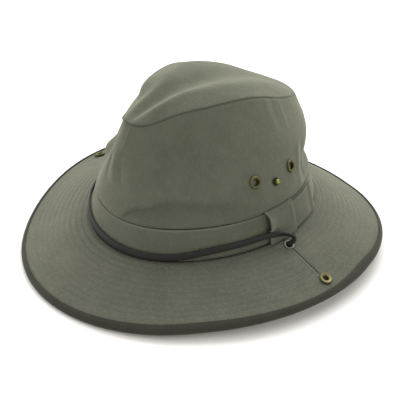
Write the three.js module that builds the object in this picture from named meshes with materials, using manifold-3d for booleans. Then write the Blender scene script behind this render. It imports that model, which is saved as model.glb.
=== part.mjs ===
// A cotton traveller hat: pinched crown, stiff stitched brim with a bound edge, folded hat band
// with a keeper loop, flat chin lace, vent eyelets and side snaps. It rests on its brim.
//
// Hat frame, in millimetres: +Z up, the front towards -Y, the wearer's left towards +X.
// Height 0 is the seam where brim and crown meet. A bearing is measured in degrees from the
// front towards the wearer's left, so 90 is the wearer's left side and 180 the back.
import * as THREE from "three";
import { mergeVertices } from "three/addons/utils/BufferGeometryUtils.js";
import Module from "manifold-3d";

const wasm = await Module();
wasm.setup();

// Driving sizes
const GAP = 0.3;
const HEAD = { halfWidth: 86.6, halfLength: 100.8, egg: 1.8, square: 0.5 };
const BAND = { bottom: 0.9, top: 25.8, bottomOut: 2.4, topIn: 3.5, thickness: 2 };
const CLOTH = 1.5;
const BRIM_CLOTH = 1.6;
const BINDING = { width: 6.4, thickness: 1, fold: 1.1 };

// Crown wall above the band: rise is the share of the way from the band's top to the shoulder
// seam, taper narrows the front half, egg is the share of the head oval's egg shape.
const WALL = [
  { rise: 0, halfWidth: 80.6, front: 94.8, back: 94.8, taper: 0, egg: 1 },
  { rise: 0.13, halfWidth: 83.6, front: 96, back: 93.4, taper: 0, egg: 1 },
  { rise: 0.32, halfWidth: 77.8, front: 96.2, back: 95.5, taper: 0.045, egg: 0.1 },
  { rise: 0.6, halfWidth: 65.1, front: 94.2, back: 99.2, taper: 0.18, egg: 0 },
  { rise: 0.85, halfWidth: 51.2, front: 86.2, back: 98.1, taper: 0.247, egg: 0 },
  { rise: 1, halfWidth: 43.1, front: 82.4, back: 97.4, taper: 0.255, egg: 0 },
];
const SHOULDER = [
  { bearing: 0, height: 104.2 },
  { bearing: 30, height: 103.4 },
  { bearing: 60, height: 110.2 },
  { bearing: 90, height: 107.8 },
  { bearing: 120, height: 90.7 },
  { bearing: 150, height: 77.4 },
  { bearing: 180, height: 73.5 },
];
const PINCH = { bearing: 43.6, spread: 16.8, height: 70.8, reach: 37.3, depth: 14.4, fade: 0.3 };
// Soft folds of the wall: depth is how far each presses in, below 0 where it stands out.
const FOLDS = [
  { bearing: -61.8, height: 50, spread: 6.5, reach: 13.5, depth: 8 },
  { bearing: -54.5, height: 47.5, spread: 8.2, reach: 8, depth: -4.8 },
  { bearing: 140, height: 40.5, spread: 20, reach: 7.4, depth: 5 },
];
const TIP = { height: 116.2, slope: -0.139, sag: -0.001, fullness: 2.9 };
const DENT = { depth: 10.6, halfWidth: 13.2, flare: 0.121, front: -93.6, back: 69.3, frontEase: 8, backEase: 12 };

// Brim: reach is how far the rim stands out from the head oval, drop how far it hangs below it.
const BRIM = [
  { bearing: 0, reach: 64.6, drop: 26.2 },
  { bearing: 30, reach: 65, drop: 23.4 },
  { bearing: 60, reach: 63.4, drop: 22 },
  { bearing: 90, reach: 62.6, drop: 24.8 },
  { bearing: 120, reach: 64.3, drop: 30 },
  { bearing: 150, reach: 63.5, drop: 42.4 },
  { bearing: 180, reach: 61, drop: 49.8 },
  { bearing: 210, reach: 62.5, drop: 44.6 },
  { bearing: 240, reach: 63.8, drop: 33.5 },
  { bearing: 270, reach: 62.8, drop: 29 },
  { bearing: 300, reach: 61.6, drop: 29.5 },
  { bearing: 330, reach: 62.4, drop: 29.6 },
];
const BRIM_CAMBER = 1.2;

// The hat rests on the front and back of its brim, which the surface flattens a little.
const REST = { pitch: 3.85, roll: -0.95, lift: 36.7, ease: 0.5, touch: 0.75 };

// Fittings
const KEEPER = { from: 82.4, to: 98.6, bottom: 0.9, top: 29.6, thickness: 1.5 };
const TAIL = { from: 85, to: 119.6, bottom: 1.4, top: 25.6, thickness: 1.3 };
const CROWN_EYELET = { bore: 2.6, barrel: 3.1, flange: 5.3, seat: 1, rise: 1.9 };
const LACE_EYELET = { bore: 3, barrel: 3.5, flange: 5.2, seat: 0.3, rise: 1.2 };
const CROWN_EYELETS = [
  { place: "front", bearing: 79.1, height: 55.2 },
  { place: "back", bearing: 103.9, height: 52.3 },
];
const STUD = { bearing: 90.7, height: 49.4, base: 3.3, neck: 1.3, ball: 1.95, seat: 0.5, rise: 4.5 };
const LACE_EYELET_OUT = 9.8;
const SOCKET = { out: 48.8, bore: 2.1, barrel: 3, base: 5.3, rise: 3 };

// Chin lace, a flat strip. Over the band it follows rows of bearing, height of its middle above
// the brim seam, and distance of its middle from the band's face.
const LACE = { width: 5.7, thickness: 1.8, eyeWidth: 4, eyeThickness: 2.2 };
const LACE_OVER_BAND = [
  { bearing: -83, height: 10.2, out: 4.8 },
  { bearing: -79, height: 9.8, out: 2.6 },
  { bearing: -70, height: 9.3, out: 1.6 },
  { bearing: -53, height: 8.8, out: 1.8 },
  { bearing: -38, height: 7.8, out: 2.2 },
  { bearing: -20, height: 6.4, out: 1.6 },
  { bearing: 0, height: 5.5, out: 1.6 },
  { bearing: 18, height: 4.2, out: 1.6 },
  { bearing: 36, height: 4.9, out: 1.6 },
  { bearing: 53, height: 8.5, out: 1.6 },
  { bearing: 70, height: 9.3, out: 1.6 },
  { bearing: 79, height: 9.8, out: 2.6 },
  { bearing: 83, height: 10.2, out: 4.8 },
];
// From the band the lace turns edge on, loops out over the brim and drops through its eyelet.
const LACE_LOOP = [
  { x: 93.6, y: -6.4, z: 9.2, width: 4.8, thickness: 1.8 },
  { x: 96.6, y: -1.4, z: 8, width: 4, thickness: 2 },
  { x: 100.2, y: 2.4, z: 5, width: 3.9, thickness: 2.2 },
  { x: 100.6, y: 1.8, z: 1.8, width: 4, thickness: 2.2 },
];
const LACE_THROUGH = { above: 1.4, below: 4.2 };
// Under the brim it drops to the surface and lies round the back, in resting-frame coordinates.
const LACE_UNDER = [
  { x: 97.5, y: 1.2, z: 18 },
  { x: 99, y: 6, z: 8 },
  { x: 100.5, y: 16, z: 2.4 },
  { x: 100.5, y: 30, z: 1.1 },
  { x: 96.5, y: 50, z: 1.1 },
  { x: 87, y: 72, z: 1.1 },
  { x: 71, y: 92, z: 1.1 },
  { x: 50, y: 107, z: 1.1 },
  { x: 26, y: 115.5, z: 1.1 },
];

// Facets
const CROWN_STEPS = 54;
const BRIM_STEPS = 70;
const EYELET_STEPS = 12;

const COLOUR = {
  cloth: 0x5f6152,
  clothLight: 0x66685a,
  binding: 0x45453b,
  lace: 0x33312d,
  brass: 0x9a9560,
};

const X = new THREE.Vector3(1, 0, 0);
const Y = new THREE.Vector3(0, 1, 0);
const Z = new THREE.Vector3(0, 0, 1);
const radians = THREE.MathUtils.degToRad;
const vector = (x, y, z) => new THREE.Vector3(x, y, z);

// Smooth curve through a table's rows: cubic pieces whose slopes come from the rows beside them.
function smoothThrough(places, values) {
  const last = places.length - 1;
  const slope = values.map((_, i) => {
    const before = Math.max(i - 1, 0);
    const after = Math.min(i + 1, last);
    return (values[after] - values[before]) / (places[after] - places[before]);
  });
  return (place) => {
    let i = 0;
    while (i < last - 1 && place >= places[i + 1]) i += 1;
    const span = places[i + 1] - places[i];
    const k = (place - places[i]) / span;
    const ease = k * k * (3 - 2 * k);
    const leave = k * (1 - k) * (1 - k) * span * slope[i];
    const arrive = k * k * (k - 1) * span * slope[i + 1];
    return values[i] + (values[i + 1] - values[i]) * ease + leave + arrive;
  };
}

function column(rows, key, name) {
  return smoothThrough(rows.map((row) => row[key]), rows.map((row) => row[name]));
}

// The same round the hat. A table that stops at 180 is mirrored to the other side.
function columnRound(rows, name) {
  const half = rows[rows.length - 1].bearing === 180;
  const mirrored = half ? rows.slice(1, -1).reverse().map((row) => ({ ...row, bearing: 360 - row.bearing })) : [];
  const full = [...rows, ...mirrored];
  const turn = (row, turns) => ({ place: row.bearing + 360 * turns, value: row[name] });
  const wrapped = [turn(full[full.length - 1], -1), ...full.map((row) => turn(row, 0)), turn(full[0], 1), turn(full[1], 1)];
  const curve = smoothThrough(wrapped.map((row) => row.place), wrapped.map((row) => row.value));
  return (bearing) => curve(((bearing % 360) + 360) % 360);
}

// Plan of a horizontal ring of the hat at a bearing
function plan(bearing, { halfWidth, front, back, taper = 0, egg = 1 }) {
  const t = radians(bearing);
  const halfLength = (front + back) / 2;
  const swell = egg * (HEAD.egg * Math.cos(3 * t) + HEAD.square * Math.cos(4 * t));
  const out = new THREE.Vector2(halfLength * Math.sin(t), -halfWidth * Math.cos(t)).normalize();
  const x = halfWidth * Math.sin(t) * (1 - taper * Math.cos(t));
  const y = (back - front) / 2 - halfLength * Math.cos(t);
  return new THREE.Vector2(x, y).addScaledVector(out, swell);
}

function headOval(bearing, out) {
  const front = HEAD.halfLength + out;
  return plan(bearing, { halfWidth: HEAD.halfWidth + out, front, back: front });
}

function bandFace(height) {
  const share = (height - BAND.bottom) / (BAND.top - BAND.bottom);
  return THREE.MathUtils.lerp(BAND.bottomOut, -BAND.topIn, share);
}

function bandPoint(bearing, height, out) {
  const p = headOval(bearing, bandFace(height) + out);
  return vector(p.x, p.y, height);
}

// Crown
const wallColumns = Object.fromEntries(
  ["halfWidth", "front", "back", "taper", "egg"].map((name) => [name, column(WALL, "rise", name)]),
);
const shoulderHeight = columnRound(SHOULDER, "height");

function wallRing(rise) {
  return Object.fromEntries(Object.entries(wallColumns).map(([name, curve]) => [name, curve(rise)]));
}

const bell = (distance, spread) => Math.exp(-((distance / spread) ** 2));
const ease = (distance, softness) => 1 / (1 + Math.exp(-distance / softness));

// A bearing from -180 to 180
const between = (bearing) => THREE.MathUtils.euclideanModulo(bearing + 180, 360) - 180;

// The two finger pinches at the front push the wall inwards.
function pinched(point, bearing) {
  const signed = between(bearing);
  const push = (side) =>
    PINCH.depth * bell(signed - side * PINCH.bearing, PINCH.spread) * bell(point.z - PINCH.height, PINCH.reach);
  const left = push(1) * Math.SQRT1_2;
  const right = push(-1) * Math.SQRT1_2;
  return vector(point.x - left + right, point.y + left + right, point.z);
}

function folded(point, bearing) {
  const t = radians(bearing);
  const press = FOLDS.reduce(
    (sum, fold) =>
      sum + fold.depth * bell(between(bearing - fold.bearing), fold.spread) * bell(point.z - fold.height, fold.reach),
    0,
  );
  return vector(point.x - press * Math.sin(t), point.y + press * Math.cos(t), point.z);
}

function crownWall(bearing, rise) {
  const p = plan(bearing, wallRing(rise));
  const height = THREE.MathUtils.lerp(BAND.top, shoulderHeight(bearing), rise);
  return folded(pinched(vector(p.x, p.y, height), bearing), bearing);
}

// Behind the band the wall stands parallel to the band's inner face.
function crownFoot(bearing, height) {
  return bandPoint(bearing, height, -BAND.thickness - GAP - 0.1);
}

function tipHeight(x, y, share, seamHeight) {
  const dome = TIP.height + TIP.slope * y + TIP.sag * y * y;
  const top = dome + (seamHeight - dome) * share ** TIP.fullness;
  const along = ease(y - DENT.front, DENT.frontEase) * ease(DENT.back - y, DENT.backEase);
  const width = Math.max(DENT.halfWidth + DENT.flare * y, 4);
  return top - DENT.depth * bell(x, width) * along * (1 - share ** 4);
}

// The tip panel: share 1 is the shoulder seam, 0 the middle of the tip.
function crownTip(bearing, share) {
  const seam = plan(bearing, wallRing(1));
  const middle = (WALL[WALL.length - 1].back - WALL[WALL.length - 1].front) / 2;
  const x = seam.x * share;
  const y = middle + (seam.y - middle) * share;
  const seamHeight = shoulderHeight(bearing);
  const atSeam = pinched(vector(x, y, seamHeight), bearing);
  const reach = Math.max((share - PINCH.fade) / (1 - PINCH.fade), 0) ** 1.5;
  return vector(
    THREE.MathUtils.lerp(x, atSeam.x, reach),
    THREE.MathUtils.lerp(y, atSeam.y, reach),
    tipHeight(x, y, share, seamHeight),
  );
}

// Station 0 to 1 climbs behind the band, 1 to 2 the wall, and 2 to 3 crosses the tip.
function crownSurface(bearing, station) {
  if (station < 1) return crownFoot(bearing, station * BAND.top);
  if (station < 2) return crownWall(bearing, station - 1);
  return crownTip(bearing, Math.max(3 - station, 0));
}

// Outward normal of a surface of bearing and station
function normalOf(surface, bearing, station) {
  const turn = 0.5;
  const climb = 0.01;
  const along = surface(bearing + turn, station).sub(surface(bearing - turn, station));
  const up = surface(bearing, station + climb).sub(surface(bearing, station - climb));
  return along.cross(up).normalize();
}

// Brim
const brimReach = columnRound(BRIM, "reach");
const brimDrop = columnRound(BRIM, "drop");
const floorNormal = vector(Math.tan(radians(REST.roll)), Math.tan(radians(REST.pitch)), 1).normalize();
const floorHeight = (x, y) => -(REST.lift + floorNormal.x * x + floorNormal.y * y) / floorNormal.z;

// The lower outer edge of the bound rim, flattened where the surface carries it
function rimEdge(bearing) {
  const p = headOval(bearing, brimReach(bearing));
  const floor = floorHeight(p.x, p.y);
  const rise = -brimDrop(bearing) - floor;
  const settled = (rise + Math.hypot(rise, REST.ease)) / 2;
  return vector(p.x, p.y, floor + settled);
}

const BINDING_STACK = BINDING.thickness + GAP;
const RIM_MARGIN = BINDING_STACK;
const RIM_ROLL = 1.1;

// Top face of the brim cloth: station 0 at the crown seam, 1 at the cloth's edge
function brimTop(bearing, station) {
  const inner = headOval(bearing, bandFace(0) - BAND.thickness);
  const rim = rimEdge(bearing);
  const out = vector(rim.x - inner.x, rim.y - inner.y, 0);
  const share = station * (1 - RIM_MARGIN / out.length());
  const edgeTop = rim.z + BINDING_STACK + BRIM_CLOTH - RIM_ROLL;
  const height = edgeTop * share + BRIM_CAMBER * Math.sin(Math.PI * Math.min(Math.max(share, 0), 1));
  return vector(inner.x + out.x * share, inner.y + out.y * share, height);
}

const brimNormal = (bearing, station) => normalOf(brimTop, bearing, station).negate();
const crownNormal = (bearing, station) => normalOf(crownSurface, bearing, station);

function brimPoint(bearing, station, lift) {
  return brimTop(bearing, station).addScaledVector(brimNormal(bearing, Math.min(Math.max(station, 0.02), 0.98)), lift);
}

// Solids from rings and lofts
function bodyFrom(points, triangles) {
  const geometry = new THREE.BufferGeometry();
  geometry.setAttribute("position", new THREE.Float32BufferAttribute(points.flatMap((p) => [p.x, p.y, p.z]), 3));
  geometry.setIndex(triangles.flat());
  return facingOut(geometry);
}

function facingOut(geometry) {
  geometry.deleteAttribute("normal");
  geometry.deleteAttribute("uv");
  const merged = mergeVertices(geometry, 1e-4);
  const at = merged.getAttribute("position");
  const index = Array.from(merged.getIndex().array);
  const corner = (i) => new THREE.Vector3().fromBufferAttribute(at, i);
  const kept = [];
  let volume = 0;
  for (let i = 0; i < index.length; i += 3) {
    const [a, b, c] = [index[i], index[i + 1], index[i + 2]];
    if (a === b || b === c || c === a) continue;
    kept.push([a, b, c]);
    volume += corner(a).dot(corner(b).cross(corner(c)));
  }
  merged.setIndex(kept.flatMap(([a, b, c]) => (volume > 0 ? [a, b, c] : [a, c, b])));
  return merged;
}

function quads(triangles, a, b, c, d) {
  triangles.push([a, b, c], [a, c, d]);
}

// A closed ring: one closed section at each bearing, joined to the next all the way round
function ringSolid(section, steps) {
  const sections = Array.from({ length: steps }, (_, i) => section((360 * i) / steps));
  const size = sections[0].length;
  const triangles = [];
  for (let i = 0; i < steps; i += 1) {
    const here = i * size;
    const next = ((i + 1) % steps) * size;
    for (let j = 0; j < size; j += 1) {
      const k = (j + 1) % size;
      quads(triangles, here + j, next + j, next + k, here + k);
    }
  }
  return bodyFrom(sections.flat(), triangles);
}

// A strip: closed sections one after another, with flat ends
function stripSolid(sections) {
  const size = sections[0].length;
  const triangles = [];
  for (let i = 0; i < sections.length - 1; i += 1) {
    for (let j = 0; j < size; j += 1) {
      const k = (j + 1) % size;
      quads(triangles, i * size + j, (i + 1) * size + j, (i + 1) * size + k, i * size + k);
    }
  }
  const end = (sections.length - 1) * size;
  for (let j = 1; j < size - 1; j += 1) {
    triangles.push([0, j, j + 1], [end, end + j + 1, end + j]);
  }
  return bodyFrom(sections.flat(), triangles);
}

// A shell over the crown's middle: outer and inner skins that share an edge and close at a pole
function capSolid(outer, inner, stations, steps) {
  const skins = [outer, inner];
  const rows = stations.length;
  const points = [];
  for (const skin of skins) {
    for (const station of stations) {
      for (let i = 0; i < steps; i += 1) points.push(skin((360 * i) / steps, station));
    }
    points.push(skin(0, 3));
  }
  const skinSize = rows * steps + 1;
  const triangles = [];
  for (let i = 0; i < steps; i += 1) {
    const n = (i + 1) % steps;
    for (const [start, flip] of [[0, false], [skinSize, true]]) {
      const face = (a, b, c) => triangles.push(flip ? [a, c, b] : [a, b, c]);
      for (let r = 0; r < rows - 1; r += 1) {
        const low = start + r * steps;
        const high = low + steps;
        face(low + i, low + n, high + n);
        face(low + i, high + n, high + i);
      }
      const ring = start + (rows - 1) * steps;
      face(ring + i, ring + n, start + rows * steps);
    }
    quads(triangles, i, skinSize + i, skinSize + n, n);
  }
  return bodyFrom(points, triangles);
}

function manifoldOf(geometry) {
  const mesh = new wasm.Mesh({
    numProp: 3,
    vertProperties: Float32Array.from(geometry.getAttribute("position").array),
    triVerts: Uint32Array.from(geometry.getIndex().array),
  });
  return new wasm.Manifold(mesh);
}

function geometryOf(manifold) {
  const mesh = manifold.getMesh();
  const geometry = new THREE.BufferGeometry();
  geometry.setAttribute("position", new THREE.Float32BufferAttribute(mesh.vertProperties, 3));
  geometry.setIndex(Array.from(mesh.triVerts));
  return geometry;
}

// Round holes through cloth, each given by its fitting's place and a radius
function punched(geometry, holes) {
  const solid = holes.reduce((cloth, { point, normal, radius }) => {
    const cutter = new THREE.CylinderGeometry(radius, radius, 14, EYELET_STEPS);
    cutter.applyQuaternion(new THREE.Quaternion().setFromUnitVectors(Y, normal));
    cutter.translate(point.x, point.y, point.z);
    return cloth.subtract(manifoldOf(facingOut(cutter)));
  }, manifoldOf(geometry));
  return geometryOf(solid);
}

function turned(profile, steps) {
  return facingOut(new THREE.LatheGeometry(profile.map(([r, h]) => new THREE.Vector2(r, h)), steps));
}

// Meshes
const hat = new THREE.Group();
const group = new THREE.Group();
group.add(hat);

function addMesh(parent, name, geometry, color, roughness, metalness = 0) {
  const mesh = new THREE.Mesh(geometry, new THREE.MeshStandardMaterial({ color, roughness, metalness }));
  mesh.name = name;
  parent.add(mesh);
  return mesh;
}

// Places of the fittings: a point on the cloth's outer face and its outward normal
function onCrown(bearing, height) {
  const rise = (height - BAND.top) / (shoulderHeight(bearing) - BAND.top);
  return { point: crownSurface(bearing, 1 + rise), normal: crownNormal(bearing, 1 + rise) };
}

function onBrim(bearing, out) {
  const full = brimTop(bearing, 1).sub(brimTop(bearing, 0));
  const station = out / Math.hypot(full.x, full.y);
  return { point: brimTop(bearing, station), normal: brimNormal(bearing, station) };
}

const SIDES = [
  { side: "left", sign: 1 },
  { side: "right", sign: -1 },
];
const crownEyelets = SIDES.flatMap(({ side, sign }) =>
  CROWN_EYELETS.map(({ place, bearing, height }) => ({ name: `crown_eyelet_${side}_${place}`, ...onCrown(sign * bearing, height) })),
);
const studs = SIDES.map(({ side, sign }) => ({ name: `crown_snap_${side}`, ...onCrown(sign * STUD.bearing, STUD.height) }));
const laceEyelets = SIDES.map(({ side, sign }) => ({ name: `lace_eyelet_${side}`, ...onBrim(sign * 90, LACE_EYELET_OUT) }));
const sockets = SIDES.map(({ side, sign }) => ({ name: `brim_snap_${side}`, ...onBrim(sign * 90, SOCKET.out) }));

function addFitting(place, geometry) {
  const mesh = addMesh(hat, place.name, geometry, COLOUR.brass, 0.4, 0.9);
  mesh.quaternion.setFromUnitVectors(Y, place.normal);
  mesh.position.copy(place.point);
}

const holesFor = (places, radius) => places.map((place) => ({ ...place, radius: radius + GAP }));

// The crown wall, one panel round the head, and the tip panel set into its top
function addCrown() {
  const seamStep = 0.004;
  const wallStations = [0, 1, 1.06, 1.14, 1.24, 1.36, 1.5, 1.66, 1.82, 1.93, 2 - seamStep];
  const outer = (bearing, station) => crownSurface(bearing, station);
  const lean = (bearing, station) => crownNormal(bearing, Math.abs(station - 2) < 0.01 ? 2 : station);
  const inner = (bearing, station) =>
    crownSurface(bearing, station).addScaledVector(lean(bearing, station), -CLOTH);
  const wall = ringSolid(
    (bearing) => [
      ...wallStations.map((station) => outer(bearing, station)),
      ...[...wallStations].reverse().map((station) => inner(bearing, station)),
    ],
    CROWN_STEPS,
  );
  const holes = [...holesFor(crownEyelets, CROWN_EYELET.barrel), ...holesFor(studs, STUD.neck)];
  addMesh(hat, "crown_side", punched(wall, holes), COLOUR.cloth, 0.9);

  const tipStations = [2 + seamStep, 2.12, 2.26, 2.42, 2.58, 2.74, 2.89];
  const pole = (bearing, station) => (station < 3 ? inner(bearing, station) : outer(0, 3).sub(vector(0, 0, CLOTH)));
  addMesh(hat, "crown_tip", capSolid(outer, pole, tipStations, CROWN_STEPS), COLOUR.clothLight, 0.9);
}

function addBrim() {
  const stations = [0, 0.33, 0.67, 1];
  const cloth = ringSolid(
    (bearing) => [
      ...stations.map((station) => brimPoint(bearing, station, 0)),
      ...[...stations].reverse().map((station) => brimPoint(bearing, station, -BRIM_CLOTH)),
    ],
    BRIM_STEPS,
  );
  const holes = [...holesFor(laceEyelets, LACE_EYELET.barrel), ...holesFor(sockets, SOCKET.barrel)];
  addMesh(hat, "brim", punched(cloth, holes), COLOUR.cloth, 0.9);

  // The binding folds over the rim, its section given as distance in from the cloth's edge and lift.
  const top = GAP + BINDING.thickness;
  const under = -BRIM_CLOTH - GAP;
  const section = [
    { inward: BINDING.width, lift: GAP },
    { inward: BINDING.width, lift: top - 0.2 },
    { inward: 0.4, lift: top },
    { inward: -GAP - BINDING.thickness, lift: -BRIM_CLOTH / 2 },
    { inward: 0.2, lift: under - BINDING.thickness },
    { inward: 2.8, lift: under - BINDING.thickness - BINDING.fold },
    { inward: BINDING.width, lift: under - BINDING.thickness },
    { inward: BINDING.width, lift: under },
    { inward: -GAP, lift: under },
    { inward: -GAP, lift: GAP },
  ];
  const binding = ringSolid((bearing) => {
    const width = brimTop(bearing, 1).distanceTo(brimTop(bearing, 0));
    return section.map(({ inward, lift }) => {
      const p = brimPoint(bearing, 1 - inward / width, lift);
      const floor = floorHeight(p.x, p.y);
      return p.z < floor + REST.touch ? p.setZ(floor) : p;
    });
  }, BRIM_STEPS);
  addMesh(hat, "brim_binding", binding, COLOUR.binding, 0.85);
}

function addBand() {
  const skin = (bearing, height, out) => bandPoint(bearing, height, out);
  const belt = (bearing) => [
    skin(bearing, BAND.bottom, -BAND.thickness),
    skin(bearing, BAND.bottom, 0),
    skin(bearing, BAND.top - 1, 0),
    skin(bearing, BAND.top, -0.8),
    skin(bearing, BAND.top, -BAND.thickness),
  ];
  addMesh(hat, "hat_band", ringSolid(belt, BRIM_STEPS), COLOUR.cloth, 0.9);

  const across = (from, to, steps, section) =>
    stripSolid(Array.from({ length: steps + 1 }, (_, i) => section(THREE.MathUtils.lerp(from, to, i / steps))));
  const tailFoot = GAP;
  const tailFace = tailFoot + TAIL.thickness;
  const tail = (bearing) => [
    skin(bearing, TAIL.bottom, tailFoot),
    skin(bearing, TAIL.bottom, tailFace),
    skin(bearing, TAIL.top, tailFace),
    skin(bearing, TAIL.top, tailFoot),
  ];
  addMesh(hat, "band_tail", across(TAIL.from, TAIL.to, 8, tail), COLOUR.clothLight, 0.9);

  // The keeper stands outside band and tail, and turns in over the band's top edge.
  const keeperFoot = tailFace + GAP;
  const keeperFace = keeperFoot + KEEPER.thickness;
  const inset = 0.4;
  const keeper = (bearing) => [
    skin(bearing, KEEPER.bottom, keeperFoot),
    skin(bearing, KEEPER.bottom, keeperFace),
    skin(bearing, KEEPER.top - 2, keeperFace),
    skin(bearing, KEEPER.top, keeperFoot - 0.6),
    skin(bearing, KEEPER.top, inset),
    skin(bearing, KEEPER.top - KEEPER.thickness, inset),
    skin(bearing, KEEPER.top - KEEPER.thickness, keeperFoot),
  ];
  addMesh(hat, "band_keeper", across(KEEPER.from, KEEPER.to, 4, keeper), COLOUR.clothLight, 0.9);
}

// Flat strip along a curve: a point, the direction of its width and its size at each step
function flatStrip(stops) {
  const rounding = 0.6;
  return stripSolid(
    stops.map(({ point, along, across, width, thickness }) => {
      const side = across.clone().addScaledVector(along, -across.dot(along)).normalize();
      const face = new THREE.Vector3().crossVectors(along, side).normalize();
      const at = (u, v) => point.clone().addScaledVector(side, u).addScaledVector(face, v);
      const w = width / 2;
      const h = thickness / 2;
      return [
        at(-w, 0), at(-w + rounding, -h), at(w - rounding, -h),
        at(w, 0), at(w - rounding, h), at(-w + rounding, h),
      ];
    }),
  );
}

// Stops along a smooth curve through knots of point, width direction, width and thickness
function stopsAlong(knots, count) {
  const curve = new THREE.CatmullRomCurve3(knots.map((knot) => knot.point), false, "centripetal");
  return Array.from({ length: count + 1 }, (_, i) => {
    const u = i / count;
    const place = u * (knots.length - 1);
    const k = Math.min(Math.floor(place), knots.length - 2);
    const share = place - k;
    return {
      point: curve.getPoint(u),
      along: curve.getTangent(u),
      across: knots[k].across.clone().lerp(knots[k + 1].across, share),
      width: THREE.MathUtils.lerp(knots[k].width, knots[k + 1].width, share),
      thickness: THREE.MathUtils.lerp(knots[k].thickness, knots[k + 1].thickness, share),
    };
  });
}

const mirrored = ({ x, y, z }) => vector(-x, y, z);

function addLace(rest) {
  const flat = { width: LACE.width, thickness: LACE.thickness };
  const overBand = LACE_OVER_BAND.map(({ bearing, height, out }) => ({
    point: bandPoint(bearing, height, out),
    across: bandPoint(bearing, BAND.top, 0).sub(bandPoint(bearing, BAND.bottom, 0)).normalize(),
    ...flat,
  }));
  const eyelet = laceEyelets[0];
  const through = (place, depth) => place.point.clone().addScaledVector(place.normal, -depth);
  const underBrim = through(eyelet, LACE_THROUGH.below);
  const twist = [0.15, 0.45, 0.8, 1];
  const loop = LACE_LOOP.map(({ x, y, z, width, thickness }, i) => ({
    point: vector(x, y, z),
    across: vector(twist[i], 0, 1 - twist[i]).normalize(),
    width,
    thickness,
  }));
  const eye = { across: X.clone(), width: LACE.eyeWidth, thickness: LACE.eyeThickness };
  const leftEnd = [
    ...loop,
    { point: through(eyelet, -LACE_THROUGH.above), ...eye },
    { point: through(eyelet, LACE_THROUGH.above), ...eye },
    { point: underBrim, ...eye },
  ];
  const rightEnd = leftEnd.map((knot) => ({
    ...knot,
    point: mirrored(knot.point),
    across: vector(-knot.across.x, knot.across.y, knot.across.z),
  })).reverse();
  const knots = [...rightEnd, ...overBand, ...leftEnd];
  addMesh(hat, "chin_lace_front", flatStrip(stopsAlong(knots, 68)), COLOUR.lace, 0.6);

  // The free stretch starts just below the eyelet and lies on the surface round the back.
  const hanging = (place, depth) => through(place, LACE_THROUGH.below + depth).applyQuaternion(rest.turn).add(rest.shift);
  const [start, finish] = laceEyelets.map((place) => [GAP + 0.1, 3].map((depth) => hanging(place, depth)));
  const out = (p) => vector(p.x, p.y, 0).normalize();
  const lie = LACE_UNDER.map((p, i) => {
    const point = vector(p.x, p.y, p.z);
    return i < 2 ? { point, ...eye } : { point, across: out(point), ...flat };
  });
  const middle = { point: vector(0, 118, 1.1), across: Y.clone(), ...flat };
  const back = lie.map((knot) => ({ ...knot, point: mirrored(knot.point), across: vector(-knot.across.x, knot.across.y, 0) }));
  const path = [
    ...start.map((point) => ({ point, ...eye })), ...lie, middle, ...back.reverse(),
    ...finish.reverse().map((point) => ({ point, ...eye, across: X.clone().negate() })),
  ];
  addMesh(group, "chin_lace_under", flatStrip(stopsAlong(path, 50)), COLOUR.lace, 0.6);
}

// Turned brass fittings: radius and height pairs, height 0 on the cloth's outer face
function eyeletProfile({ bore, barrel, flange, seat, rise }, cloth) {
  const under = -cloth - 0.5;
  return [
    [bore, under - 0.7], [bore, rise - 0.4], [(bore + flange) / 2, rise], [flange, seat + 0.3],
    [flange - 0.3, seat], [barrel, seat], [barrel, under], [flange - 0.6, under],
    [flange - 0.6, under - 0.7], [bore, under - 0.7],
  ];
}

function addFittings() {
  crownEyelets.forEach((place) => addFitting(place, turned(eyeletProfile(CROWN_EYELET, CLOTH), EYELET_STEPS)));
  laceEyelets.forEach((place) => addFitting(place, turned(eyeletProfile(LACE_EYELET, BRIM_CLOTH), EYELET_STEPS)));

  const back = -CLOTH - 0.5;
  const seat = STUD.seat;
  const studProfile = [
    [0, back - 0.9], [STUD.base, back - 0.9], [STUD.base, back], [STUD.neck, back], [STUD.neck, seat],
    [STUD.base, seat], [STUD.base, seat + 0.7], [STUD.neck, seat + 1.2], [STUD.neck, seat + 1.7],
    [STUD.ball, STUD.rise - 1.5], [STUD.ball - 0.5, STUD.rise - 0.3], [0, STUD.rise],
  ];
  studs.forEach((place) => addFitting(place, turned(studProfile, EYELET_STEPS)));

  const under = -BRIM_CLOTH - GAP;
  const socketProfile = [
    [SOCKET.bore, under - 0.8], [SOCKET.bore, SOCKET.rise - 0.4], [SOCKET.bore + 0.9, SOCKET.rise],
    [SOCKET.base - 1.1, SOCKET.rise - 0.3], [SOCKET.base - 0.5, SOCKET.rise - 1.2], [SOCKET.base, GAP],
    [SOCKET.barrel, GAP], [SOCKET.barrel, under], [SOCKET.base - 0.6, under], [SOCKET.base - 0.6, under - 0.8],
    [SOCKET.bore, under - 0.8],
  ];
  sockets.forEach((place) => addFitting(place, turned(socketProfile, EYELET_STEPS)));
}

addCrown();
addBrim();
addBand();
addFittings();

// Set the hat down: the surface under the brim becomes height 0, with the hat centred over it.
const turn = new THREE.Quaternion().setFromUnitVectors(floorNormal, Z);
hat.quaternion.copy(turn);
hat.updateMatrixWorld(true);
const box = new THREE.Box3().setFromObject(hat, true);
const shift = vector(-(box.min.x + box.max.x) / 2, -(box.min.y + box.max.y) / 2, REST.lift);
hat.position.copy(shift);
addLace({ turn, shift });

export default group;
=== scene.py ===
"""Looks of the traveller hat: cloth, stitching, lace and brass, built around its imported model.

The hat's shapes are written in the hat frame, in millimetres: +Z up, the front towards -Y, the
wearer's left towards +X, height 0 at the seam of brim and crown. A bearing is measured in degrees
from the front towards the wearer's left. HatForm.settle turns a point into the resting frame.
"""

import logging
import math
from dataclasses import dataclass
from enum import Enum
from typing import Callable, Optional, Sequence

import bmesh
import bpy
import numpy as np
from mathutils import Matrix, Quaternion, Vector, noise


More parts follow.
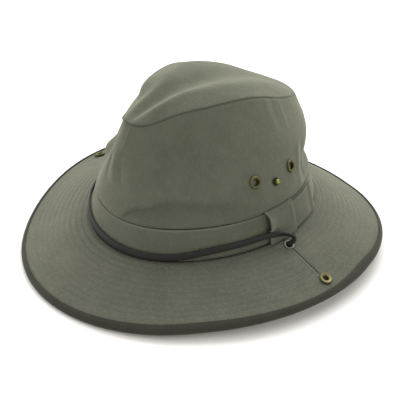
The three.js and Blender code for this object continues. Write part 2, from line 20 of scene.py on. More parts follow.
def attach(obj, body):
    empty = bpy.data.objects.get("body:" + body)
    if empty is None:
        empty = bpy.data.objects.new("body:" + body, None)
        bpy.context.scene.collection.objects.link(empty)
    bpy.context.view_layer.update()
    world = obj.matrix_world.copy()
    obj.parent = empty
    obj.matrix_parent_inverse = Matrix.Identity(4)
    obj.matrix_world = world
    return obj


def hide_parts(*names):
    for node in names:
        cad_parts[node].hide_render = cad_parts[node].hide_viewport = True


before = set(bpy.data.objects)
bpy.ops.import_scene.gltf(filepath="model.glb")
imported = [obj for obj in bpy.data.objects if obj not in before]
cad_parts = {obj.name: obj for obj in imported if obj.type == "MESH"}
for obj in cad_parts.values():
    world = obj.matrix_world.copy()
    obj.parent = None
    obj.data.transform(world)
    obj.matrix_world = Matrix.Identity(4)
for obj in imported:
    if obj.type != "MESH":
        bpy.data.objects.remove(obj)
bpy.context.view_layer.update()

MM = 0.001
SAME_PLACE = 2e-6
HOLE_DEPTH = 6 * MM
LOG = logging.getLogger("traveller_hat")

# One number, or the coordinates of one point, for each place that is worked out.
Values = np.ndarray
Points = np.ndarray
# From bearing and station, or from a grid's two shares, to points or to numbers.
Surface = Callable[[Values, Values], np.ndarray]


class Side(Enum):
    """The wearer's sides, as the sign of X."""

    LEFT = 1
    RIGHT = -1


class Slot(Enum):
    """Material slots of the record."""

    COTTON = "cotton"
    BRIM_COTTON = "brim_cotton"
    BINDING = "binding"
    LACE = "lace"
    BRASS = "antique_brass"


# Shapes


@dataclass(frozen=True)
class WallRow:
    """A level of the crown wall: rise is its share of the way up to the shoulder seam."""

    rise: float
    half_width: float
    front: float
    back: float
    taper: float
    egg: float


@dataclass(frozen=True)
class RimRow:
    """How far the rim stands out from the head oval, and how far it hangs below it."""

    bearing: float
    reach: float
    drop: float


@dataclass(frozen=True)
class Fold:
    """A soft fold of the crown's wall: depth is how far it presses in, below 0 where it stands out."""

    bearing: float
    height: float
    spread: float
    reach: float
    depth: float

    def press(self, bearing: Values, z: Values) -> Values:
        """How far it presses a place on the wall in."""
        across = bell(signed(bearing - self.bearing), self.spread)
        return self.depth * across * bell(z - self.height, self.reach)


WALL = (
    WallRow(0, 80.6, 94.8, 94.8, 0, 1),
    WallRow(0.13, 83.6, 96, 93.4, 0, 1),
    WallRow(0.32, 77.8, 96.2, 95.5, 0.045, 0.1),
    WallRow(0.6, 65.1, 94.2, 99.2, 0.18, 0),
    WallRow(0.85, 51.2, 86.2, 98.1, 0.247, 0),
    WallRow(1, 43.1, 82.4, 97.4, 0.255, 0),
)
SHOULDER = ((0, 104.2), (30, 103.4), (60, 110.2), (90, 107.8), (120, 90.7), (150, 77.4), (180, 73.5))
FOLDS = (
    Fold(-63.6, 49.5, 7.8, 13.0, 8.4),
    Fold(-53.7, 48.4, 8.4, 8.6, -5.0),
    Fold(140.0, 40.2, 20.0, 7.3, 5.3),
)
RIM = (
    RimRow(0, 64.6, 26.2),
    RimRow(30, 65, 23.4),
    RimRow(60, 63.4, 22),
    RimRow(90, 62.6, 24.8),
    RimRow(120, 64.3, 30),
    RimRow(150, 63.5, 42.4),
    RimRow(180, 61, 49.8),
    RimRow(210, 62.5, 44.6),
    RimRow(240, 63.8, 33.5),
    RimRow(270, 62.8, 29),
    RimRow(300, 61.6, 29.5),
    RimRow(330, 62.4, 29.6),
)
# Dents of the rim: bearing, spread in degrees, depth.
RIM_DENTS = ((-55, 16, 1.0), (47, 8, 0.8), (107, 5, 0.5))
# The ridges beside the tip's dent: distance from the middle, and Y.
CREST = ((9.0, -60.0), (14.7, -33.7), (18.3, -25.7), (22.5, -11.2), (27.8, 7.5), (28.9, 29.8))
# The tape's width on top of the brim, by bearing.
TAPE_WIDTHS = (
    (0, 3.7), (20, 4.9), (44, 5.7), (60, 4.9), (80, 3.4), (92, 3.8), (104, 5.6), (116, 3.9),
    (135, 3.0), (160, 3.4), (200, 4.4), (240, 3.8), (280, 3.0), (310, 2.6), (330, 2.8), (345, 3.1),
)
# Fittings: bearing and height of the vents and the stud, and how far out from the crown the rest are.
VENTS = {"front": (79.1, 55.2), "back": (103.9, 52.3)}
STUD = (90.7, 49.4)
LACE_OUT = 9.8
SOCKET_OUT = 48.8
SIDE_BEARING = 90


def smooth_through(places: Sequence[float], values: Sequence[float], at: Values) -> Values:
    """Follow a table's rows with a smooth curve.

    Args:
        places: Where the rows stand, in rising order.
        values: The rows' values.
        at: Where the curve is wanted.

    Returns:
        The curve's values there.
    """
    xs, ys = np.asarray(places, float), np.asarray(values, float)
    slope = np.empty_like(ys)
    slope[1:-1] = (ys[2:] - ys[:-2]) / (xs[2:] - xs[:-2])
    slope[0] = (ys[1] - ys[0]) / (xs[1] - xs[0])
    slope[-1] = (ys[-1] - ys[-2]) / (xs[-1] - xs[-2])
    i = np.clip(np.searchsorted(xs, at, side="right") - 1, 0, len(xs) - 2)
    span = xs[i + 1] - xs[i]
    k = (at - xs[i]) / span
    ease = k * k * (3 - 2 * k)
    leave = k * (1 - k) ** 2 * span * slope[i]
    arrive = k * k * (k - 1) * span * slope[i + 1]
    return ys[i] + (ys[i + 1] - ys[i]) * ease + leave + arrive


def smooth_round(bearings: Sequence[float], values: Sequence[float], at: Values) -> Values:
    """Follow a table that runs right round the hat.

    Args:
        bearings: The rows' bearings, from 0 and below 360.
        values: The rows' values.
        at: The bearings that are wanted.

    Returns:
        The values there.
    """
    xs = [bearings[-1] - 360, *bearings, bearings[0] + 360, bearings[1] + 360]
    ys = [values[-1], *values, values[0], values[1]]
    return smooth_through(xs, ys, np.mod(at, 360))


def bell(distance: Values, spread: float | Values) -> Values:
    """A smooth bump, 1 in its middle."""
    return np.exp(-((distance / spread) ** 2))


def step_up(distance: Values, softness: float) -> Values:
    """A smooth step from 0 to 1."""
    return 1 / (1 + np.exp(-np.clip(distance / softness, -40, 40)))


def signed(bearing: Values) -> Values:
    """A bearing between -180 and 180."""
    return np.mod(bearing + 180, 360) - 180


def unit(vectors: Points) -> Points:
    """Vectors of length 1."""
    return vectors / np.maximum(np.linalg.norm(vectors, axis=-1, keepdims=True), 1e-12)


@dataclass(frozen=True)
class HatForm:
    """The hat's surfaces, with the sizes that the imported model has."""

    gap: float = 0.3
    half_width: float = 86.6
    half_length: float = 100.8
    egg: float = 1.8
    square: float = 0.5
    band_bottom: float = 0.9
    band_top: float = 25.8
    band_out: float = 2.4
    band_in: float = 3.5
    band_cloth: float = 2.0
    cloth: float = 1.5
    brim_cloth: float = 1.6
    binding_width: float = 6.4
    binding_cloth: float = 1.0
    brim_camber: float = 1.2
    rim_roll: float = 1.1
    rim_lip: float = 2.0
    rim_lip_at: float = 4.2
    pinch_bearing: float = 43.6
    pinch_spread: float = 16.8
    pinch_height: float = 70.8
    pinch_reach: float = 37.3
    pinch_depth: float = 14.4
    tip_height: float = 116.2
    tip_slope: float = -0.139
    tip_sag: float = -0.001
    tip_fullness: float = 2.9
    dent_depth: float = 7.8
    crest_height: float = 1.2
    crest_spread: float = 7
    dent_half_width: float = 13.2
    dent_least: float = 4
    dent_flare: float = 0.121
    dent_front: float = -93.6
    dent_front_fade: float = 8
    dent_back: float = 69.3
    dent_back_fade: float = 12
    tip_stiff_share: float = 0.3
    rest_pitch: float = 3.85
    rest_roll: float = -0.95
    rest_lift: float = 36.7
    rest_ease: float = 0.5
    rest_shift: tuple[float, float] = (0.512, 1.413)

    def floor_normal(self) -> Points:
        """The resting surface's normal, in the hat frame."""
        roll, pitch = math.radians(self.rest_roll), math.radians(self.rest_pitch)
        return unit(np.array([math.tan(roll), math.tan(pitch), 1.0]))

    def turn(self) -> Quaternion:
        """The turn that sets the hat down on its brim."""
        return Vector(self.floor_normal()).rotation_difference(Vector((0, 0, 1)))

    def settle(self, points: Points) -> Points:
        """Move points from the hat frame to the resting frame.

        Args:
            points: Points in millimetres, in the hat frame.

        Returns:
            The points in metres, in the resting frame.
        """
        turned = np.asarray(points, float) @ np.array(self.turn().to_matrix()).T
        return (turned + np.array([*self.rest_shift, self.rest_lift])) * MM

    def floor_height(self, x: Values, y: Values) -> Values:
        """The resting surface's height under a point, in the hat frame."""
        n = self.floor_normal()
        return -(self.rest_lift + n[0] * x + n[1] * y) / n[2]

    def plan(
        self, bearing: Values, half_width: Values, front: Values, back: Values,
        taper: Values | float = 0.0, egg: Values | float = 1.0,
    ) -> tuple[Values, Values]:
        """A horizontal ring of the hat.

        Args:
            bearing: Bearings in degrees.
            half_width: Half the ring's width.
            front: How far it reaches to the front.
            back: How far it reaches to the back.
            taper: How much its front half narrows.
            egg: The share of the head oval's egg shape.

        Returns:
            X and Y of the ring at the bearings.
        """
        t = np.radians(bearing)
        half_length = (front + back) / 2
        swell = egg * (self.egg * np.cos(3 * t) + self.square * np.cos(4 * t))
        nx, ny = half_length * np.sin(t), -half_width * np.cos(t)
        size = np.hypot(nx, ny)
        x = half_width * np.sin(t) * (1 - taper * np.cos(t)) + nx / size * swell
        y = (back - front) / 2 - half_length * np.cos(t) + ny / size * swell
        return x, y

    def head_oval(self, bearing: Values, out: Values | float) -> tuple[Values, Values]:
        """The oval of the head, moved outwards."""
        reach = self.half_length + out
        return self.plan(bearing, self.half_width + out, reach, reach)

    def band_point(self, bearing: Values, height: Values, out: Values | float) -> Points:
        """A point beside the band's face, at a height and a distance out from it.

        Args:
            bearing: Bearings in degrees.
            height: Heights over the seam of brim and crown.
            out: Distances out from the band's face.

        Returns:
            Points in the hat frame.
        """
        bearing, height = np.broadcast_arrays(np.asarray(bearing, float), np.asarray(height, float))
        share = (height - self.band_bottom) / (self.band_top - self.band_bottom)
        x, y = self.head_oval(bearing, self.band_out - (self.band_out + self.band_in) * share + out)
        return np.stack([x, y, height + 0.0 * x], -1)

    def wall_ring(self, rise: Values) -> dict[str, Values]:
        """The crown wall's ring sizes at a rise.

        Args:
            rise: Shares of the way up the wall.

        Returns:
            The ring's sizes, by name.
        """
        places = [row.rise for row in WALL]
        names = ("half_width", "front", "back", "taper", "egg")
        rows = {name: [getattr(row, name) for row in WALL] for name in names}
        return {name: smooth_through(places, rows[name], rise) for name in names}

    def shoulder(self, bearing: Values) -> Values:
        """Height of the seam between wall and tip.

        Args:
            bearing: Bearings in degrees.

        Returns:
            The heights.
        """
        mirrored = [(360 - b, h) for b, h in SHOULDER[-2:0:-1]]
        rows = [*SHOULDER, *mirrored]
        return smooth_round(*zip(*rows), bearing)

    def pinched(self, x: Values, y: Values, z: Values, bearing: Values) -> tuple[Values, Values]:
        """Push points inwards where the crown is pinched, and give their X and Y.

        Args:
            x: X of the points.
            y: Y of the points.
            z: Heights of the points.
            bearing: Bearings in degrees.

        Returns:
            The new X and Y.
        """
        push = {
            side: self.pinch_depth
            * bell(signed(bearing) - side.value * self.pinch_bearing, self.pinch_spread)
            * bell(z - self.pinch_height, self.pinch_reach)
            * math.sqrt(0.5)
            for side in Side
        }
        left, right = push[Side.LEFT], push[Side.RIGHT]
        return x - left + right, y + left + right

    def crown_foot(self, bearing: Values, height: Values) -> Points:
        """The crown's wall behind the band."""
        return self.band_point(bearing, height, -self.band_cloth - self.gap - 0.1)

    def crown_wall(self, bearing: Values, rise: Values) -> Points:
        """The crown's wall above the band.

        Args:
            bearing: Bearings in degrees.
            rise: Shares of the way up the wall.

        Returns:
            Points in the hat frame.
        """
        x, y = self.plan(bearing, **self.wall_ring(rise))
        z = self.band_top + (self.shoulder(bearing) - self.band_top) * rise
        x, y = self.pinched(x, y, z, bearing)
        press = sum(fold.press(bearing, z) for fold in FOLDS)
        t = np.radians(bearing)
        return np.stack([x - press * np.sin(t), y + press * np.cos(t), z], -1)

    def tip_height_at(self, x: Values, y: Values, share: Values, seam: Values) -> Values:
        """Height of the tip panel, dent included.

        Args:
            x: X of the points.
            y: Y of the points.
            share: Shares of the way from the middle to the seam.
            seam: Heights of the seam at the points' bearings.

        Returns:
            The heights.
        """
        dome = self.tip_height + self.tip_slope * y + self.tip_sag * y * y
        top = dome + (seam - dome) * share**self.tip_fullness
        along = step_up(y - self.dent_front, self.dent_front_fade)
        along = along * step_up(self.dent_back - y, self.dent_back_fade)
        width = np.maximum(self.dent_half_width + self.dent_flare * y, self.dent_least)
        crest = np.interp(y, [row[1] for row in CREST], [row[0] for row in CREST])
        raised = self.crest_height * bell(np.abs(x) - crest, self.crest_spread)
        relief = raised - self.dent_depth * bell(x, width)
        return top + relief * along * (1 - share**4)

    def crown_tip(self, bearing: Values, share: Values) -> Points:
        """The tip panel: share is 1 at the shoulder seam and 0 in the middle.

        Args:
            bearing: Bearings in degrees.
            share: Shares of the way from the middle to the seam.

        Returns:
            Points in the hat frame.
        """
        last = WALL[-1]
        seam_x, seam_y = self.plan(bearing, last.half_width, last.front, last.back, last.taper, last.egg)
        middle = (last.back - last.front) / 2
        x, y = seam_x * share, middle + (seam_y - middle) * share
        seam = self.shoulder(bearing)
        px, py = self.pinched(x, y, seam, bearing)
        reach = np.clip((share - self.tip_stiff_share) / (1 - self.tip_stiff_share), 0, None) ** 1.5
        z = self.tip_height_at(x, y, share, seam)
        return np.stack([x + (px - x) * reach, y + (py - y) * reach, z], -1)

    def crown(self, bearing: Values, station: Values) -> Points:
        """The crown: station 0 to 1 behind the band, to 2 up the wall, to 3 over the tip.

        Args:
            bearing: Bearings in degrees.
            station: Stations, as wide as the bearings.

        Returns:
            Points in the hat frame.
        """
        foot = self.crown_foot(bearing, np.clip(station, 0, 1) * self.band_top)
        wall = self.crown_wall(bearing, np.clip(station - 1, 0, 1))
        tip = self.crown_tip(bearing, np.clip(3 - station, 0, 1))
        pick = np.asarray(station)[..., None]
        return np.where(pick < 1, foot, np.where(pick < 2, wall, tip))

    def rim_edge(self, bearing: Values) -> Points:
        """The rim's lower edge, flattened where the surface carries it.

        Args:
            bearing: Bearings in degrees.

        Returns:
            Points in the hat frame.
        """
        bearings = [row.bearing for row in RIM]
        reach = smooth_round(bearings, [row.reach for row in RIM], bearing)
        for at, spread, depth in RIM_DENTS:
            reach = reach - depth * bell(signed(bearing - at), spread)
        drop = smooth_round(bearings, [row.drop for row in RIM], bearing)
        x, y = self.head_oval(bearing, reach)
        floor = self.floor_height(x, y)
        rise = -drop - floor
        return np.stack([x, y, floor + (rise + np.hypot(rise, self.rest_ease)) / 2], -1)

    def brim_top(self, bearing: Values, station: Values) -> Points:
        """Top face of the brim: station 0 at the crown seam and 1 at the cloth's edge.

        Args:
            bearing: Bearings in degrees.
            station: Stations, as wide as the bearings.

        Returns:
            Points in the hat frame.
        """
        ix, iy = self.head_oval(bearing, self.band_face_foot())
        rim = self.rim_edge(bearing)
        ox, oy = rim[..., 0] - ix, rim[..., 1] - iy
        stack = self.binding_cloth + self.gap
        share = station * (1 - stack / np.hypot(ox, oy))
        edge = rim[..., 2] + stack + self.brim_cloth - self.rim_roll
        height = edge * share + self.brim_camber * np.sin(np.pi * np.clip(share, 0, 1))
        inward = (1 - share) * np.hypot(ox, oy) / self.rim_lip_at
        height = height + self.rim_lip * inward * np.exp(1 - np.clip(inward, -0.3, None))
        return np.stack([ix + ox * share, iy + oy * share, height], -1)

    def band_face_foot(self) -> float:
        """How far out of the head oval the brim's inner edge lies."""
        slope = (self.band_out + self.band_in) / (self.band_top - self.band_bottom)
        return self.band_out + slope * self.band_bottom - self.band_cloth


FORM = HatForm()


def settled(points: Points) -> Points:
    """Points of the hat frame in the resting frame, in metres."""
    return FORM.settle(points)


def normals(surface: Surface, bearing: Values, station: Values, low: float, high: float) -> Points:
    """Normals of a surface of bearing and station.

    Args:
        surface: The surface.
        bearing: Bearings in degrees.
        station: Stations.
        low: The lowest station that it may be read at.
        high: The highest.

    Returns:
        Unit vectors, on the side that bearing and station turn to.
    """
    turn, climb = 0.5, 0.01
    station = np.clip(station, low + climb, high - climb)
    along = surface(bearing + turn, station) - surface(bearing - turn, station)
    up = surface(bearing, station + climb) - surface(bearing, station - climb)
    return unit(np.cross(along, up))


def grain(points: Points, size: float, seed: float) -> Values:
    """Smooth random relief, about -1 to 1.

    Args:
        points: Points in millimetres.
        size: Size of its lumps in millimetres.
        seed: Which of many such reliefs.

    Returns:
        One value a point.
    """
    shift = Vector((seed * 17.3, seed * 5.1, seed * 9.7))
    flat = np.asarray(points, float).reshape(-1, 3) / size
    values = np.array([noise.noise(Vector(p) + shift) for p in flat])
    return values.reshape(np.asarray(points).shape[:-1])


def ripples(points: Points, layers: Sequence[tuple[float, float, float]]) -> Values:
    """Sum of smooth random reliefs, each given by its height, its size and its seed."""
    return sum(height * grain(points, size, seed) for height, size, seed in layers)


# Meshes


def deselect_all() -> None:
    if bpy.context.mode != "OBJECT":
        bpy.ops.object.mode_set(mode="OBJECT")
    bpy.ops.object.select_all(action="DESELECT")


def pick_only(piece: bpy.types.Object) -> None:
    """Make a piece the only one selected, and the active one.

    Args:
        piece: The piece.
    """
    deselect_all()
    piece.select_set(True)
    bpy.context.view_layer.objects.active = piece


def keep_as(name: str) -> bpy.types.Object:
    """Name the primitive that was just added, and its mesh.

    Args:
        name: The new name.

    Returns:
        The piece.
    """
    piece = bpy.context.object
    piece.name = name
    piece.data.name = name
    return piece


def apply_modifier(piece: bpy.types.Object, kind: str, **settings: object) -> None:
    """Add a modifier with its settings and apply it.

    Args:
        piece: The piece.
        kind: The modifier's type.
        settings: Its settings.
    """
    pick_only(piece)
    modifier = piece.modifiers.new(kind.title(), kind)
    for name, value in settings.items():
        setattr(modifier, name, value)
    bpy.ops.object.modifier_apply(modifier=modifier.name)


def merge_doubles(piece: bpy.types.Object, outward: bool = False) -> None:
    """Close seams and poles by merging vertices that share a place.

    Args:
        piece: The piece.
        outward: Whether the normals are then made to face outwards.
    """
    pick_only(piece)
    bpy.ops.object.mode_set(mode="EDIT")
    bpy.ops.mesh.select_all(action="SELECT")
    bpy.ops.mesh.remove_doubles(threshold=SAME_PLACE)
    bpy.ops.mesh.dissolve_degenerate(threshold=SAME_PLACE)
    if outward:
        bpy.ops.mesh.normals_make_consistent(inside=False)
    bpy.ops.object.mode_set(mode="OBJECT")


def smooth_shade(piece: bpy.types.Object, angle: float) -> None:
    """Shade a piece smooth except over edges sharper than an angle in degrees."""
    pick_only(piece)
    bpy.ops.object.shade_smooth_by_angle(angle=math.radians(angle))


def thicken(piece: bpy.types.Object, thickness: float) -> None:
    """Give a sheet its thickness in millimetres, inwards from its face."""
    apply_modifier(piece, "SOLIDIFY", thickness=thickness * MM, offset=-1.0, use_even_offset=False)


def soften_edges(piece: bpy.types.Object, width: float) -> None:
    """Round a piece's sharp edges over a width in millimetres."""
    apply_modifier(piece, "BEVEL", width=width * MM, segments=2, limit_method="ANGLE")


@dataclass
class Sheet:
    """A grid bent to a surface: columns run round or along it, rows across it.

    Its cloth is laid out flat by cut, or over size_mm; its last field gives its painted highlights, above
    0, and painted shade, below 0.
    """

    name: str
    columns: int
    rows: int
    place: Surface
    size_mm: tuple[float, float] = (1.0, 1.0)
    cut: Optional[Surface] = None
    painted_shading: Optional[Surface] = None

    def build(self) -> bpy.types.Object:
        """Add the grid, bend it, and give it a UV map in millimetres and its painted highlights and
        shade.

        Returns:
            The piece, in metres.
        """
        deselect_all()
        bpy.ops.mesh.primitive_grid_add(
            x_subdivisions=self.columns, y_subdivisions=self.rows, size=1, location=(0, 0, 0)
        )
        piece = keep_as(self.name)
        mesh = piece.data
        count = len(mesh.vertices)
        flat = np.empty(count * 3)
        mesh.vertices.foreach_get("co", flat)
        u = np.round(flat[0::3] + 0.5, 6)
        v = np.round(flat[1::3] + 0.5, 6)
        mesh.vertices.foreach_set("co", np.ascontiguousarray(self.place(u, v)).ravel())
        corners = np.empty(len(mesh.loops), int)
        mesh.loops.foreach_get("vertex_index", corners)
        layer = mesh.uv_layers.active or mesh.uv_layers.new(name="cloth")
        layer.name = "cloth"
        cut = self.cut(u, v) if self.cut else np.stack([u, v], -1) * self.size_mm
        layer.data.foreach_set("uv", np.ascontiguousarray(cut[corners]).ravel())
        # Painted highlights above 0 and painted shade below 0, kept on the points for the material.
        mottle_and_painted_shading = self.painted_shading(u, v) if self.painted_shading else np.zeros(count)
        attribute = mesh.attributes.new("painted_shading", "FLOAT", "POINT")
        attribute.data.foreach_set("value", np.asarray(mottle_and_painted_shading, float))
        mesh.update()
        return piece


@dataclass(frozen=True)
class Place:
    """Where a fitting goes through cloth: a point on its face and the way out."""

    point: Points
    normal: Points

    def pierce(self, piece: bpy.types.Object, radius: float) -> None:
        """Open a round hole here in a sheet, and round its edge.

        Args:
            piece: The sheet, before it has its thickness.
            radius: The hole's radius in millimetres.
        """
        ends = settled(np.stack([self.point, self.point + self.normal]))
        middle, line, reach = Vector(ends[0]), Vector(unit(ends[1] - ends[0])), radius * MM

        def offset(point: Vector) -> Optional[Vector]:
            """A point's offset from the hole's line, if it lies inside the hole.

            Args:
                point: The point, in metres.

            Returns:
                The offset, or None outside the hole.
            """
            apart = point - middle
            depth = apart.dot(line)
            apart = apart - line * depth
            return apart if apart.length < reach and abs(depth) < HOLE_DEPTH else None

        pick_only(piece)
        bpy.ops.object.mode_set(mode="EDIT")
        bpy.ops.mesh.select_mode(type="FACE")
        bpy.ops.mesh.select_all(action="DESELECT")
        shape = bmesh.from_edit_mesh(piece.data)
        inside = [face for face in shape.faces if offset(face.calc_center_median()) is not None]
        for face in inside:
            face.select = True
        bmesh.update_edit_mesh(piece.data)
        if inside:
            bpy.ops.mesh.delete(type="FACE")
        shape = bmesh.from_edit_mesh(piece.data)
        for vertex in shape.verts:
            apart = offset(vertex.co)
            if apart is not None:
                vertex.co += apart.normalized() * (reach - apart.length)
        bmesh.update_edit_mesh(piece.data)
        bpy.ops.object.mode_set(mode="OBJECT")


def on_crown(bearing: float, height: float) -> Place:
    """A place on the crown's wall.

    Args:
        bearing: Its bearing in degrees.
        height: Its height over the seam of brim and crown.

    Returns:
        The place.
    """
    at = np.array([float(bearing)])
    rise = (height - FORM.band_top) / (FORM.shoulder(at) - FORM.band_top)
    normal = normals(FORM.crown, at, 1 + rise, 0, 3)
    return Place(FORM.crown(at, 1 + rise)[0], normal[0])


def on_brim(bearing: float, out: float) -> Place:
    """A place on the brim's top face.

    Args:
        bearing: Its bearing in degrees.
        out: How far out from the crown it is.

    Returns:
        The place.
    """
    at = np.array([float(bearing)])
    full = FORM.brim_top(at, np.ones(1)) - FORM.brim_top(at, np.zeros(1))
    station = out / np.hypot(full[..., 0], full[..., 1])
    return Place(FORM.brim_top(at, station)[0], -normals(FORM.brim_top, at, station, 0, 1)[0])


def read_along(run: Values, rows: Points, at: Values) -> Points:
    """Read a line's points, or its normals, at lengths along it."""
    return np.stack([np.interp(at, run, rows[:, k]) for k in range(3)], -1)


def length_of(line: Points) -> float:
    """Length of a line of points."""
    return float(np.linalg.norm(np.diff(line, axis=0), axis=1).sum())


@dataclass
class StitchRow:
    """Stitches along a line on a surface, each a short thread that dips at both ends."""

    length: float
    pitch: float
    thickness: float

    def template(self) -> tuple[Points, list[tuple[int, ...]]]:
        """Model one stitch from a six sided rod, thin at its ends.

        Returns:
            Its vertices, along X and in units of its own length and thickness, and its faces.
        """
        deselect_all()
        bpy.ops.mesh.primitive_cylinder_add(
            vertices=6, radius=0.5, depth=1, end_fill_type="NGON", rotation=(0, math.pi / 2, 0)
        )
        rod = keep_as("stitch_rod")
        bpy.ops.object.transform_apply(location=True, rotation=True, scale=True)
        bpy.ops.object.mode_set(mode="EDIT")
        bpy.ops.mesh.select_all(action="SELECT")
        bpy.ops.mesh.bisect(plane_co=(0, 0, 0), plane_no=(1, 0, 0))
        bpy.ops.object.mode_set(mode="OBJECT")
        at = np.array([v.co[:] for v in rod.data.vertices])
        ends = np.abs(at[:, 0]) > 0.4
        at[ends, 1:] *= 0.55
        at[ends, 2] -= 0.45
        faces = [tuple(polygon.vertices) for polygon in rod.data.polygons]
        bpy.data.objects.remove(rod)
        return at, faces

    def sew(self, name: str, lines: Sequence[tuple[Points, Points]]) -> bpy.types.Object:
        """Lay copies of the stitch along lines.

        Args:
            name: The piece's name.
            lines: Each a line of points in millimetres, and the surface's normals there.

        Returns:
            The piece, in metres.
        """
        at, faces = self.template()
        points, polygons = [], []
        for line, side in lines:
            steps = np.linalg.norm(np.diff(line, axis=0), axis=1)
            run = np.concatenate([[0], np.cumsum(steps)])
            count = max(int(run[-1] / self.pitch), 1)
            middle = (np.arange(count) + 0.5) * run[-1] / count
            here = read_along(run, line, middle)
            along = unit(read_along(run, line, middle + 0.5) - read_along(run, line, middle - 0.5))
            up = unit(read_along(run, side, middle))
            across = unit(np.cross(up, along))
            up = np.cross(along, across)
            for i in range(count):
                points.append(
                    here[i]
                    + np.outer(at[:, 0] * self.length, along[i])
                    + np.outer(at[:, 1] * self.thickness, across[i])
                    + np.outer(at[:, 2] * self.thickness, up[i])
                )
        for i in range(len(points)):
            polygons.extend(tuple(k + i * len(at) for k in polygon) for polygon in faces)
        mesh = bpy.data.meshes.new(name)
        mesh.from_pydata(settled(np.vstack(points)).tolist(), [], polygons)
        piece = bpy.data.objects.new(name, mesh)
        bpy.context.collection.objects.link(piece)
        smooth_shade(piece, 60)
        return piece


# Finishes


def linear(hex_colour: str) -> tuple[float, float, float, float]:
    """Turn an sRGB hex colour into the linear colour that Blender works in."""
    values = [int(hex_colour[i : i + 2], 16) / 255 for i in (1, 3, 5)]
    return tuple(v / 12.92 if v <= 0.04045 else ((v + 0.055) / 1.055) ** 2.4 for v in values) + (1.0,)


@dataclass(frozen=True)
class Shading:
    """A new material and short ways to add nodes to it."""

    material: bpy.types.Material

    @classmethod
    def start(cls, name: str) -> "Shading":
        """An empty material.

        Args:
            name: The material's name.

        Returns:
            Its shading.
        """
        material = bpy.data.materials.new(name)
        material.use_nodes = True
        material.node_tree.nodes.clear()
        return cls(material)

    def add(self, kind: str, links: dict | None = None, **settings: object) -> bpy.types.Node:
        """Add a node with its settings and links.

        Args:
            kind: The node's type, without its ShaderNode.
            links: Values or sockets for its inputs, by name or number.
            settings: The node's own settings.

        Returns:
            The node.
        """
        tree = self.material.node_tree
        node = tree.nodes.new("ShaderNode" + kind)
        for name, value in settings.items():
            setattr(node, name, value)
        for key, value in (links or {}).items():
            if isinstance(value, bpy.types.NodeSocket):
                tree.links.new(value, node.inputs[key])
            else:
                node.inputs[key].default_value = value
        return node

    def noise(self, place: object, scale: float, detail: float, roughness: float = 0.5) -> object:
        """A noise texture's value."""
        links = {"Vector": place, "Scale": scale, "Detail": detail, "Roughness": roughness}
        return self.add("TexNoise", links).outputs[0]

    def spread(self, value: object, limits: tuple[float, float], reach: tuple[float, float]) -> object:
        """Stretch a value between its limits over another range."""
        names = ("From Min", "From Max", "To Min", "To Max")
        return self.add("MapRange", {"Value": value, **dict(zip(names, (*limits, *reach)))}).outputs[0]

    def sum(self, first: object, second: object) -> object:
        """Add two values."""
        return self.add("Math", {0: first, 1: second}, operation="ADD").outputs[0]

    def times(self, first: object, second: object, clamp: bool = False) -> object:
        """Multiply two values, and keep the result from 0 to 1 if asked."""
        return self.add("Math", {0: first, 1: second}, operation="MULTIPLY", use_clamp=clamp).outputs[0]

    def mix(self, factor: object, first: object, second: object) -> object:
        """Mix two colours by a factor, 0 for the first."""
        return self.add("Mix", {0: factor, 6: first, 7: second}, data_type="RGBA").outputs[2]

    def scaled(self, place: object, scale: tuple[float, float, float]) -> object:
        """Stretch a texture's place."""
        return self.add("Mapping", {"Vector": place, "Scale": scale}).outputs[0]

    def painted_shading(self) -> object:
        """The piece's painted shading: painted highlight above 0, painted shade below 0."""
        return self.add("Attribute", attribute_name="painted_shading").outputs["Fac"]

    def finish(self, height: object, strength: float, distance: float, links: dict) -> bpy.types.Material:
        """Close the material with a bumped principled shader.

        Args:
            height: The bump's height.
            strength: Its strength.
            distance: Its depth in metres.
            links: Values or sockets for the shader.

        Returns:
            The material.
        """
        bump = self.add("Bump", {"Strength": strength, "Distance": distance, "Height": height})
        shader = self.add("BsdfPrincipled", {"Normal": bump.outputs[0], **links})
        self.add("OutputMaterial", {"Surface": shader.outputs[0]})
        return self.material


